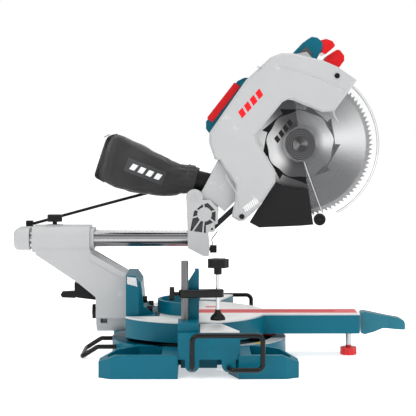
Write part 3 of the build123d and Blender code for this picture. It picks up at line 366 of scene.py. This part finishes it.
def dark_rings(centre):
    """Turned dark steel hub with fine rings."""
    finish = Finish("hub_steel", Metallic=1.0)
    x, _, z = finish.axes()
    east = x - centre[0]
    up = z - centre[2]
    radius = (east * east + up * up).power(0.5)
    rings = (radius * 2100.0).sin() * 0.5 + 0.5
    finish.feed("Base Color", finish.mix(rings, (0.035, 0.035, 0.037), (0.16, 0.16, 0.165)))
    finish.feed("Roughness", 0.28 + 0.1 * finish.grain(80.0))
    finish.bump(rings, 0.3, 0.0003)
    return finish.material


def bracket_finish():
    """Silver casting with painted shade: side faces deep in its recesses are painted dark."""
    finish = Finish("bracket_silver", Metallic=0.15, Coat_Roughness=0.25)
    _, y, z = finish.axes()
    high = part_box("hinge_bracket")[1]
    depth = finish.node("ShaderNodeMath", {"operation": "ABSOLUTE"}, y)
    facing = finish.node("ShaderNodeSeparateXYZ", {}, finish.node("ShaderNodeNewGeometry", {}, out=1), out=1)
    flat = finish.node("ShaderNodeMath", {"operation": "ABSOLUTE"}, facing) > 0.9
    # painted shade: side-facing faces deep in the recesses get a dark colour where shade falls
    floor = (depth < high[1] - 1.5 * MM) * (depth > 0.0305) * flat * (z > 0.216)
    cloud = finish.grain(9.0, 5.0)
    silver = finish.mix(cloud, shade(SILVER, 0.9), shade(SILVER, 1.1))
    dark = finish.mix(finish.grain(120.0, 5.0), (0.035, 0.036, 0.038), (0.10, 0.10, 0.105))
    finish.feed("Base Color", finish.mix(floor, silver, dark))
    finish.feed("Roughness", 0.36 + 0.25 * floor + 0.08 * cloud)
    finish.bump(finish.grain(500.0, 3.0), 0.15, 0.0005)
    return finish.material


OWN_FINISHES = {
    "front_foot": two_zone("foot_finish", RED, STEEL, 2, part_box("front_foot")[0][2] / MM + 17.5, 0.0, 1.0),
    "blade_flanges": dark_rings(ARBOR),
    "hinge_bracket": bracket_finish(),
    "mitre_scale": degree_scale(),
    "handle_plate": plain("plate_grey", (0.11, 0.115, 0.12), 0.35, 900.0, 0.2, wear=0.4, Metallic=0.6),
    "clamp_post": brushed("post_steel", (0.17, 0.17, 0.175), 0.30, (900.0, 900.0, 40.0)),
}
ROUNDING = 0.9 * MM
SMALL_ROUNDING = 0.35 * MM
NO_ROUNDING = {"saw_blade", "lower_guard", "lead", "dust_bag", "drive_belt", "extension_bar_left",
               "extension_bar_right", "stabiliser_bar", "mitre_handle", "clamp_pad"}
FINE = {"cover_screws", "handle_plate", "mitre_scale", "mitre_pointer", "table_plate", "wing_plates",
        "kerf_board", "deflector", "guard_link", "arbor_bolt", "blade_flanges", "hinge_bracket",
        "motor_housing"}


def dress_frame():
    """Give every CAD node its finish and softly rounded edges."""
    slots = {entry["node"]: entry["material_slot"] for entry in frame["record"]["subparts"]}
    for node_name, slot_name in slots.items():
        node = frame["nodes"][node_name]
        material = OWN_FINISHES.get(node_name, FINISHES[slot_name])
        for index in range(len(node.material_slots)):
            node.material_slots[index].material = material
        if not node.material_slots:
            node.data.materials.append(material)
        if node_name not in NO_ROUNDING:
            rounding = node.modifiers.new("rounded_edges", "BEVEL")
            rounding.width = SMALL_ROUNDING if node_name in FINE else ROUNDING
            rounding.segments = 2
            rounding.limit_method = "ANGLE"
            rounding.angle_limit = math.radians(40)
            rounding.harden_normals = False


dress_frame()


# ---- piece makers ----------------------------------------------------------------
def new_object(name, mesh, material, body):
    """Put a mesh into the scene with its material, body and slot."""
    piece = bpy.data.objects.new(name, mesh)
    bpy.context.scene.collection.objects.link(piece)
    piece.data.materials.append(material)
    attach(piece, body)
    return piece


def from_shape(name, build, material, body, smooth=True):
    """Make a piece from a function that fills a bmesh."""
    shape = bmesh.new()
    build(shape)
    bmesh.ops.recalc_face_normals(shape, faces=shape.faces)
    mesh = bpy.data.meshes.new(name)
    shape.to_mesh(mesh)
    shape.free()
    for face in mesh.polygons:
        face.use_smooth = smooth
    return new_object(name, mesh, material, body)


def loft(shape, rings, closed_ends=True):
    """Skin a list of equal rings of points."""
    rows = [[shape.verts.new(point) for point in ring] for ring in rings]
    count = len(rows[0])
    for row, following in zip(rows, rows[1:]):
        for i in range(count):
            j = (i + 1) % count
            shape.faces.new((row[i], row[j], following[j], following[i]))
    if closed_ends:
        for row in (rows[0], rows[-1]):
            middle = shape.verts.new(sum((v.co for v in row), Vector()) / count)
            for i in range(count):
                shape.faces.new((row[i], row[(i + 1) % count], middle))


def wire(name, points, radius, material, body, cyclic=False):
    """A round wire along a smooth curve."""
    curve = bpy.data.curves.new(name, "CURVE")
    curve.dimensions = "3D"
    curve.bevel_depth = radius
    curve.bevel_resolution = 4
    curve.use_fill_caps = True
    spline = curve.splines.new("NURBS")
    spline.points.add(len(points) - 1)
    for target, point in zip(spline.points, points):
        target.co = (*point, 1.0)
    spline.order_u = 3
    spline.use_endpoint_u = not cyclic
    spline.use_cyclic_u = cyclic
    return new_object(name, curve, material, body)


# ---- camera, floor and light -------------------------------------------------------
LENS_MM = 128.1
CAMERA_PLACE = (0.0018, -2.6, 0.4174)
CAMERA_HEADING = (0.0054, 1.0, -0.0608)
FLOOR_RADIUS = 14
FLOOR_GLOW = 0.5
AIR_GLOW_LOW = 0.34
AIR_GLOW_HIGH = 0.80


def set_camera():
    """The camera on the blade side, a little above the table."""
    lens = bpy.data.cameras.new("camera")
    lens.lens = LENS_MM
    lens.sensor_width = 36.0
    lens.clip_end = 50.0
    camera = bpy.data.objects.new("camera", lens)
    bpy.context.scene.collection.objects.link(camera)
    camera.location = CAMERA_PLACE
    camera.rotation_euler = Vector(CAMERA_HEADING).to_track_quat("-Z", "Y").to_euler()
    bpy.context.scene.camera = camera


def pale_floor():
    """A plain pale round floor."""
    shape = bmesh.new()
    steps = [k * math.pi / 48 for k in range(96)]
    rim = [(FLOOR_RADIUS * math.cos(a), FLOOR_RADIUS * math.sin(a), 0.0) for a in steps]
    shape.faces.new([shape.verts.new(point) for point in rim])
    mesh = bpy.data.meshes.new("studio_floor")
    shape.to_mesh(mesh)
    shape.free()
    for face in mesh.polygons:
        face.use_smooth = True
    floor = bpy.data.objects.new("studio_floor", mesh)
    bpy.context.scene.collection.objects.link(floor)
    finish = Finish("floor_paper", Roughness=0.9, Specular_IOR_Level=0.1, Emission_Color=(1, 1, 1, 1),
                    Emission_Strength=FLOOR_GLOW)
    finish.feed("Base Color", finish.mix(finish.grain(3.0), (0.90, 0.90, 0.90), (0.93, 0.93, 0.93)))
    floor.data.materials.append(finish.material)


def soft_light(name, place, target, size, power, tint=(1.0, 1.0, 1.0)):
    light = bpy.data.lights.new(name, "AREA")
    light.shape = "RECTANGLE"
    light.size, light.size_y = size
    light.energy = power
    light.color = tint
    lamp = bpy.data.objects.new(name, light)
    lamp.location = place
    lamp.rotation_euler = (Vector(target) - Vector(place)).to_track_quat("-Z", "Y").to_euler()
    bpy.context.scene.collection.objects.link(lamp)


def studio():
    pale_floor()
    middle = (0.0, 0.0, 0.25)
    soft_light("key_light", (-1.7, -2.3, 2.3), middle, (1.6, 1.2), 34)
    soft_light("fill_light", (2.2, -1.9, 1.3), middle, (1.4, 1.6), 18)
    soft_light("top_light", (0.2, 0.1, 2.7), middle, (2.4, 1.6), 24)
    soft_light("back_light", (0.6, 2.2, 1.9), middle, (2.0, 1.0), 16)
    world = bpy.data.worlds.new("studio_air")
    sky = Nodes(world)
    air = sky.tree.nodes["Background"]
    air.inputs["Color"].default_value = (1.0, 1.0, 1.0, 1.0)
    heading = sky.node("ShaderNodeTexCoord", {}, out="Generated")
    height = sky.node("ShaderNodeSeparateXYZ", {}, heading, out="Z")
    glow = sky.node("ShaderNodeMapRange", {}, height, -0.05, 0.85, AIR_GLOW_LOW, AIR_GLOW_HIGH)
    seen = sky.node("ShaderNodeLightPath", {}, out="Is Camera Ray")
    strength = sky.node("ShaderNodeMix", {}, seen, None, glow, 1.0)
    sky.tree.links.new(strength.socket, air.inputs["Strength"])
    bpy.context.scene.world = world


set_camera()
studio()


def lead_cord():
    """Black lead from the rear of the slide, behind the bag, to the head bracket."""
    route = [(-297, 47, 228.5), (-255, 47, 240), (-150, 47, 268.5), (-60, 47, 292), (-12, 47, 303)]
    points = [tuple(v * MM for v in point) for point in route]
    cord = wire("slide_lead", points, 2.6 * MM, FINISHES["black_rubber"], "carriage")
    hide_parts("lead")


lead_cord()


# ---- dust bag --------------------------------------------------------------------------
NECK_ACROSS = Vector((0.24, 0.0, 0.97))
BAG_SECTIONS = [
    # top edge X, Z; bottom edge X, Z; half width; squareness
    ((-4.0, 333.5), (-13.0, 287.5), 23.5, 2.0),
    ((-16.5, 334.5), (-26.0, 285.0), 24.5, 2.0),
    ((-30.0, 339.5), (-40.0, 283.5), 26.5, 2.2),
    ((-46.0, 347.0), (-57.0, 283.0), 30.0, 2.4),
    ((-65.0, 357.5), (-78.0, 284.5), 33.0, 2.5),
    ((-86.0, 368.0), (-102.0, 287.0), 35.5, 2.6),
    ((-108.0, 379.0), (-126.0, 290.5), 36.5, 2.6),
    ((-128.0, 388.5), (-148.0, 294.3), 35.5, 2.5),
    ((-141.0, 392.8), (-162.0, 299.2), 31.0, 2.4),
    ((-150.0, 392.3), (-172.5, 304.0), 23.0, 2.3),
    ((-156.5, 388.0), (-179.5, 309.5), 13.0, 2.2),
    ((-160.5, 383.0), (-183.0, 316.0), 4.0, 2.0),
]
RING_POINTS = 56
NECK_RINGS = 5
MOST_SWELLING = 4 * MM


def bag_ring(top, bottom, half_width, squareness):
    """Closed section of the bag between its top and bottom edges."""
    upper = Vector((top[0], 0.0, top[1])) * MM
    lower = Vector((bottom[0], 0.0, bottom[1])) * MM
    middle = (upper + lower) / 2
    rise = (upper - lower) / 2
    ring = []
    for i in range(RING_POINTS):
        turn = 2 * math.pi * i / RING_POINTS
        along = math.copysign(abs(math.sin(turn)) ** (2 / squareness), math.sin(turn))
        across = math.copysign(abs(math.cos(turn)) ** (2 / squareness), math.cos(turn))
        ring.append(middle + rise * along + Vector((0.0, across * half_width * MM, 0.0)))
    return ring


def dense_sections(steps):
    """Bag sections filled in smoothly between the given ones."""
    filled = []
    for first, second in zip(BAG_SECTIONS, BAG_SECTIONS[1:]):
        for k in range(steps):
            t = k / steps
            start = (*first[0], *first[1], *first[2:])
            end = (*second[0], *second[1], *second[2:])
            blend = [a + (b - a) * t for a, b in zip(start, end)]
            filled.append(((blend[0], blend[1]), (blend[2], blend[3]), blend[4], blend[5]))
    return filled + [BAG_SECTIONS[-1]]


def puff(bag, pinned, cap, pressure=2.2, frames=16):
    """Swell the cloth with a cloth simulation, held where it is sewn, then keep the result."""
    group = bag.vertex_groups.new(name="sewn")
    group.add(pinned, 1.0, "REPLACE")
    start = [v.co.copy() for v in bag.data.vertices]
    cloth = bag.modifiers.new("swell", "CLOTH")
    cloth.settings.vertex_group_mass = "sewn"
    cloth.settings.use_pressure = True
    cloth.settings.uniform_pressure_force = pressure
    cloth.settings.effector_weights.gravity = 0.15
    cloth.settings.tension_stiffness = 12
    cloth.settings.compression_stiffness = 6
    cloth.settings.bending_stiffness = 0.25
    cloth.settings.quality = 6
    cloth.point_cache.frame_end = frames
    scene = bpy.context.scene
    for step in range(1, frames + 1):
        scene.frame_set(step)
        bpy.context.view_layer.update()
    swollen = bag.evaluated_get(bpy.context.evaluated_depsgraph_get()).data
    moved = [v.co.copy() for v in swollen.vertices]
    bag.modifiers.remove(cloth)
    scene.frame_set(1)
    for vertex, before, after in zip(bag.data.vertices, start, moved):
        step = after - before
        if step.length > cap:
            step *= cap / step.length
        vertex.co = before + step


def fold_depth(point):
    """How far the cloth is pushed in or out at a place: gathers at the neck and soft creases."""
    x, y, z = point / MM
    neck = max(0.0, 1.0 - abs(x + 20.0) / 36.0)
    around = math.atan2(z - 307.0, y)
    gathers = 1.3 * neck * math.sin(around * 17.0 + 2.0 * noise.noise(Vector((x, y, z)) * 0.05))
    long_fold = 1.6 * noise.noise(Vector((x * 0.012 + z * 0.03, y * 0.02, z * 0.045 - x * 0.02)))
    crease = 1.0 - abs(noise.noise(Vector((x * 0.022 + 3.1, y * 0.03, z * 0.035))))
    return gathers + long_fold - 1.5 * max(0.0, crease - 0.90) * 10.0 + 0.35 * noise.noise(point * 160.0)


def make_bag():
    """Woven dust bag: lofted shell, swollen, then creased."""
    sections = dense_sections(4)
    rings = [bag_ring(*section) for section in sections]
    bag = from_shape("dust_bag_cloth", lambda shape: loft(shape, rings), FINISHES["bag_fabric"], "head")
    vertices = bag.data.vertices
    neck_end = NECK_RINGS * RING_POINTS
    rear_start = (len(sections) - 2) * RING_POINTS
    held = [v.index for v in vertices if v.index < neck_end or v.index >= rear_start]
    puff(bag, held, MOST_SWELLING)
    bag.data.update()
    normals = [v.normal.copy() for v in vertices]
    for vertex, normal in zip(vertices, normals):
        rear = (len(sections) - 3) * RING_POINTS <= vertex.index
        vertex.co += normal * fold_depth(vertex.co) * MM * (0.25 if rear else 1.0)
    finer = bag.modifiers.new("finer_cloth", "SUBSURF")
    finer.levels = 1
    finer.render_levels = 1
    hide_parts("dust_bag")
    return bag


def surface_tree(piece):
    """Search tree of a piece as it shows."""
    shown = piece.evaluated_get(bpy.context.evaluated_depsgraph_get())
    mesh = shown.to_mesh()
    corners = [v.co.copy() for v in mesh.vertices]
    tree = BVHTree.FromPolygons(corners, [list(p.vertices) for p in mesh.polygons])
    shown.to_mesh_clear()
    return tree


def laid_on(shape, tree, corners, lift, columns=24, rows=12, thickness=0.0, heading=(0.0, 1.0, 0.0)):
    """Lay a patch with four corners onto a surface found along heading; corners run round the patch."""
    heading = Vector(heading).normalized()
    a, b, c, d = [Vector(corner) * MM for corner in corners]
    grid = []
    for j in range(rows + 1):
        line = []
        for i in range(columns + 1):
            s, t = i / columns, j / rows
            point = (a * (1 - s) + b * s) * (1 - t) + (d * (1 - s) + c * s) * t
            hit = tree.ray_cast(point - heading * 0.3, heading)[0]
            if hit is None:
                hit = tree.find_nearest(point)[0]
            line.append(hit)
        grid.append(line)
    top = [[shape.verts.new(hit - heading * (lift + thickness)) for hit in line] for line in grid]
    under = [[shape.verts.new(hit - heading * lift) for hit in line] for line in grid]
    for j in range(rows):
        for i in range(columns):
            shape.faces.new((top[j][i], top[j][i + 1], top[j + 1][i + 1], top[j + 1][i]))
            shape.faces.new((under[j][i], under[j + 1][i], under[j + 1][i + 1], under[j][i + 1]))
    rim = ([(0, i) for i in range(columns)] + [(j, columns) for j in range(rows)]
           + [(rows, i) for i in range(columns, 0, -1)] + [(j, 0) for j in range(rows, 0, -1)])
    for k, (j, i) in enumerate(rim):
        n, m = rim[(k + 1) % len(rim)]
        shape.faces.new((top[j][i], top[n][m], under[n][m], under[j][i]))


def tilted_box(centre, width, height, tilt, y):
    """Four corners of a tilted rectangle facing the blade side."""
    along = Vector((math.cos(tilt), 0.0, math.sin(tilt))) * width / 2
    up = Vector((-math.sin(tilt), 0.0, math.cos(tilt))) * height / 2
    middle = Vector((centre[0], y, centre[1]))
    return [tuple(middle + sx * along + sz * up) for sx, sz in ((-1, -1), (1, -1), (1, 1), (-1, 1))]


PATCH_CENTRE = (-93.5, 324.7)
PATCH_TILT = -21.6


def bag_details(bag):
    """Blank sewn patch, its stitches, the piped rear edge with its zip, and the ribbed neck."""
    tree = surface_tree(bag)
    tilt = math.radians(PATCH_TILT)
    patch_cloth = bag_cloth("patch_cloth", (0.040, 0.041, 0.043), 1500.0)
    outline = tilted_box(PATCH_CENTRE, 71, 24.5, tilt, -38)
    from_shape("bag_patch", lambda shape: laid_on(shape, tree, outline, 0.2 * MM, 48, 18, 0.7 * MM),
               patch_cloth, "head")
    pale_ink = plain("pale_print", (0.78, 0.78, 0.78), 0.55, 1500.0, 0.3, 0.08)

    def marks(shape):
        for i in range(4):
            reach = -22.5 + 15 * i
            centre = (PATCH_CENTRE[0] + reach * math.cos(tilt), PATCH_CENTRE[1] + reach * math.sin(tilt))
            a, b, c, d = tilted_box(centre, 9.5, 11, tilt, -38)
            lean = Vector((3.2 * math.cos(tilt), 0, 3.2 * math.sin(tilt)))
            bar = [a, b, tuple(Vector(c) + lean), tuple(Vector(d) + lean)]
            laid_on(shape, tree, bar, 0.9 * MM, 8, 8, 0.25 * MM)

    from_shape("bag_patch_print", marks, pale_ink, "head")
    thread = plain("grey_thread", (0.09, 0.09, 0.095), 0.7, 1800.0, 0.3)

    def stitches(shape):
        a, b, c, d = [Vector(p) for p in tilted_box(PATCH_CENTRE, 67.5, 21, tilt, -38)]
        for start, end in ((a, b), (b, c), (c, d), (d, a)):
            count = int((end - start).length / 3.0)
            for k in range(count):
                first = start.lerp(end, (k + 0.15) / count)
                last = start.lerp(end, (k + 0.8) / count)
                side = (end - start).normalized().cross(Vector((0, 1, 0))) * 0.28
                stitch = [tuple(first - side), tuple(last - side), tuple(last + side), tuple(first + side)]
                laid_on(shape, tree, stitch, 0.9 * MM, 3, 1, 0.3 * MM)

    from_shape("bag_patch_stitches", stitches, thread, "head")
    cord_black = plain("piping_black", (0.010, 0.010, 0.010), 0.5, 1500.0, 0.4)
    edge = [(-143.0, 393.2), (-152.0, 391.6), (-158.5, 387.0), (-162.8, 378.0), (-167.0, 366.0),
            (-172.0, 352.0), (-178.0, 336.0), (-183.6, 321.0), (-184.0, 313.0), (-178.5, 308.0),
            (-168.0, 302.5)]
    hits = [tree.find_nearest(Vector((x, 0.0, z)) * MM)[0] for x, z in edge]
    edge = [(hit.x / MM, hit.z / MM) for hit in hits]
    piping = [(x * MM, 0.0, z * MM) for x, z in edge]
    wire("bag_rear_piping", piping, 1.7 * MM, cord_black, "head")
    for side in (-1, 1):
        points = [(x * MM + 0.0025, side * 0.0052, z * MM - 0.0012) for x, z in edge[1:-1]]
        hand = "right" if side < 0 else "left"
        wire(f"bag_zip_tape_{hand}", points, 1.0 * MM, cord_black, "head")

    def zip_teeth(shape):
        points = [Vector((x, 0.0, z)) * MM for x, z in edge[2:-2]]
        for start, end in zip(points, points[1:]):
            count = max(1, int((end - start).length / (2.4 * MM)))
            for k in range(count):
                place = start.lerp(end, k / count)
                tooth = bmesh.ops.create_cube(shape, size=1.0)["verts"]
                for v in tooth:
                    scaled = Vector((v.co.x * 2.6, v.co.y * 6.4, v.co.z * 1.2)) * MM
                    v.co = scaled + place - Vector((0.0004, 0, 0))

    from_shape("bag_zip_teeth", zip_teeth, FINISHES["black_plastic"], "head", smooth=False)

    def zip_pull(shape):
        rings = []
        for reach, width in ((0.0, 1.6), (2.5, 2.4), (8.0, 2.2), (12.0, 2.6), (13.0, 1.4)):
            at = Vector((-156.5 - reach * 0.75, 0.0, 388.5 - reach * 0.35)) * MM
            rings.append([at + Vector((0, width * c, 0.7 * s)) * MM for c, s in
                          ((1, 0), (0.7, 0.7), (0, 1), (-0.7, 0.7), (-1, 0), (-0.7, -0.7), (0, -1),
                           (0.7, -0.7))])
        loft(shape, rings)

    from_shape("bag_zip_pull", zip_pull, FINISHES["black_steel"], "head")
    elastic = bag_cloth("elastic_cloth", (0.028, 0.028, 0.030), 900.0)
    axis = Vector((0.97, 0.0, -0.24))
    for i in range(4):
        centre = Vector((-20.0, 0.0, 311.5)) * MM + axis * (12.0 - 4.6 * i) * MM
        reach = (22.2 + 0.7 * i) * MM
        loop = [centre + (NECK_ACROSS * math.sin(a) + Vector((0, 1, 0)) * math.cos(a)) * reach
                for a in [2 * math.pi * k / 24 for k in range(24)]]
        wire(f"bag_neck_rib_{i + 1}", loop, 1.5 * MM, elastic, "head", cyclic=True)


bag = make_bag()
bag_details(bag)


# ---- marks, labels and trim ----------------------------------------------------------
def leaning_bars(piece_name, tree, centre, tilt, size, gap, count, y, lift, thickness, material, body):
    """A row of plain leaning bars, laid on a surface on the blade side."""
    width, height = size

    def fill(shape):
        for i in range(count):
            reach = (i - (count - 1) / 2) * (width + gap)
            middle = (centre[0] + reach * math.cos(tilt), centre[1] + reach * math.sin(tilt))
            a, b, c, d = tilted_box(middle, width, height, tilt, y)
            lean = Vector((math.cos(tilt), 0, math.sin(tilt))) * height * 0.3
            bar = [a, b, tuple(Vector(c) + lean), tuple(Vector(d) + lean)]
            laid_on(shape, tree, bar, lift, 6, 6, thickness)

    return from_shape(piece_name, fill, material, body, smooth=False)


def head_trim():
    """Red bars and a blank label on the cover, raised ridges, and dark bars on the blade."""
    cover = surface_tree(frame["nodes"]["guard_cover"])
    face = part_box("guard_cover")[0][1] / MM
    red_ink = plain("red_print", (0.75, 0.01, 0.015), 0.4, 1500.0, 0.1, 0.06)
    leaning_bars("cover_red_bars", cover, (88, 441), math.radians(48), (10.5, 12.5), 4.2, 4, face - 4,
                 0.05 * MM, 0.15 * MM, red_ink, "head")
    paper = striped("label_paper", (0.80, 0.80, 0.79), (0.30, 0.30, 0.31), 260.0)
    tilt = math.radians(38)
    label = tilted_box((89.5, 267), 29, 10.5, tilt, face - 4)
    from_shape("cover_label", lambda shape: laid_on(shape, cover, label, 0.05 * MM, 12, 6, 0.15 * MM), paper,
               "head")
    ridges = {
        "cover_ridge_rear": [(46, 320), (50, 309), (69, 284), (69.5, 262)],
        "cover_ridge_front": [(232, 430), (233, 421), (242, 409)],
        "cover_ridge_upper": [(100, 505), (140, 507), (190, 494), (252, 466)],
    }
    for ridge_name, line in ridges.items():
        points = []
        for x, z in line:
            start = Vector((x, face - 60, z)) * MM
            hit = cover.ray_cast(start, Vector((0, 1, 0)))[0]
            points.append((hit.x, hit.y + 0.0004, hit.z) if hit else (x * MM, face * MM + 0.001, z * MM))
        wire(ridge_name, points, 1.3 * MM, FINISHES["silver_paint"], "head")
    blade = surface_tree(frame["nodes"]["saw_blade"])
    blade_ink = plain("blade_print", (0.012, 0.012, 0.013), 0.4, 1500.0, 0.1, 0.2)
    east, up = ARBOR[0] / MM, ARBOR[2] / MM
    leaning_bars("blade_dark_bars", blade, (east - 30, up + 22), math.radians(52), (8.5, 10), 3.4, 4,
                 ARBOR[1] / MM - 20, 0.04 * MM, 0.08 * MM, blade_ink, "blade")


def guard_edge_highlights():
    """Painted highlights: pale wires round the clear guard's rim and down its open side, standing in for the
    light its edges catch.
    """
    rim_highlight_paint = plain("guard_rim_highlight", (0.36, 0.37, 0.38), 0.2, 1500.0, 0.05, 0.05)
    low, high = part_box("lower_guard")
    rims = ((137.0, low[1] + 0.0004), (133.6, low[1] + 0.0002), (137.0, high[1] - 0.0004))
    for number, (radius, depth) in enumerate(rims):
        arc = [(ARBOR[0] + radius * MM * math.cos(a), depth, ARBOR[2] + radius * MM * math.sin(a))
               for a in [math.radians(-62 + 110 * k / 28) for k in range(29)]]
        wire(f"guard_rim_highlight_line_{number + 1}", arc, 0.5 * MM, rim_highlight_paint, "lower_guard")
    # painted highlight: a pale line down the clear guard's open side
    pale = plain("guard_open_edge_highlight", (0.80, 0.81, 0.82), 0.2, 1500.0, 0.05, 0.05)
    line = [(ARBOR[0] + r * MM * math.cos(a), low[1] + 0.0002, ARBOR[2] + r * MM * math.sin(a))
            for r, a in ((32, math.radians(-78)), (80, math.radians(-74)), (128, math.radians(-72)))]
    wire("guard_open_edge_highlight_line", line, 0.6 * MM, pale, "lower_guard")


def bench_trim():
    """Blank bevel label, small red square on the table, and the thin wire at the bracket."""
    trunnion = surface_tree(frame["nodes"]["turntable"])
    paper = striped("bevel_label_paper", (0.80, 0.80, 0.80), (0.10, 0.10, 0.10), 400.0)
    from_shape("bevel_label", lambda shape: laid_on(shape, trunnion,
                                                    [(-124, -66, 132), (-106, -66, 127), (-108, -66, 142.5),
                                                     (-124, -66, 144.5)], 0.05 * MM, 10, 8, 0.15 * MM),
               paper, "turntable")
    pink = plain("pale_red_print", (0.66, 0.16, 0.18), 0.5, 1500.0, 0.1, 0.1)
    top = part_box("table_plate")[1][2] / MM
    table = surface_tree(frame["nodes"]["table_plate"])
    square = [(12, 50, top + 1), (30, 50, top + 1), (30, 68, top + 1), (12, 68, top + 1)]
    from_shape("table_square", lambda shape: laid_on(shape, table, square, 0.03 * MM, 6, 6, 0.07 * MM,
                                                     (0.0, 0.0, -1.0)), pink, "turntable")
    route = [(32, -37, 221), (27, -37, 214), (21.5, -37, 207), (24, -37, 199), (22, -36, 191)]
    points = [tuple(v * MM for v in point) for point in route]
    wire("bracket_wire", points, 0.8 * MM, FINISHES["black_rubber"], "carriage")


head_trim()
guard_edge_highlights()
bench_trim()
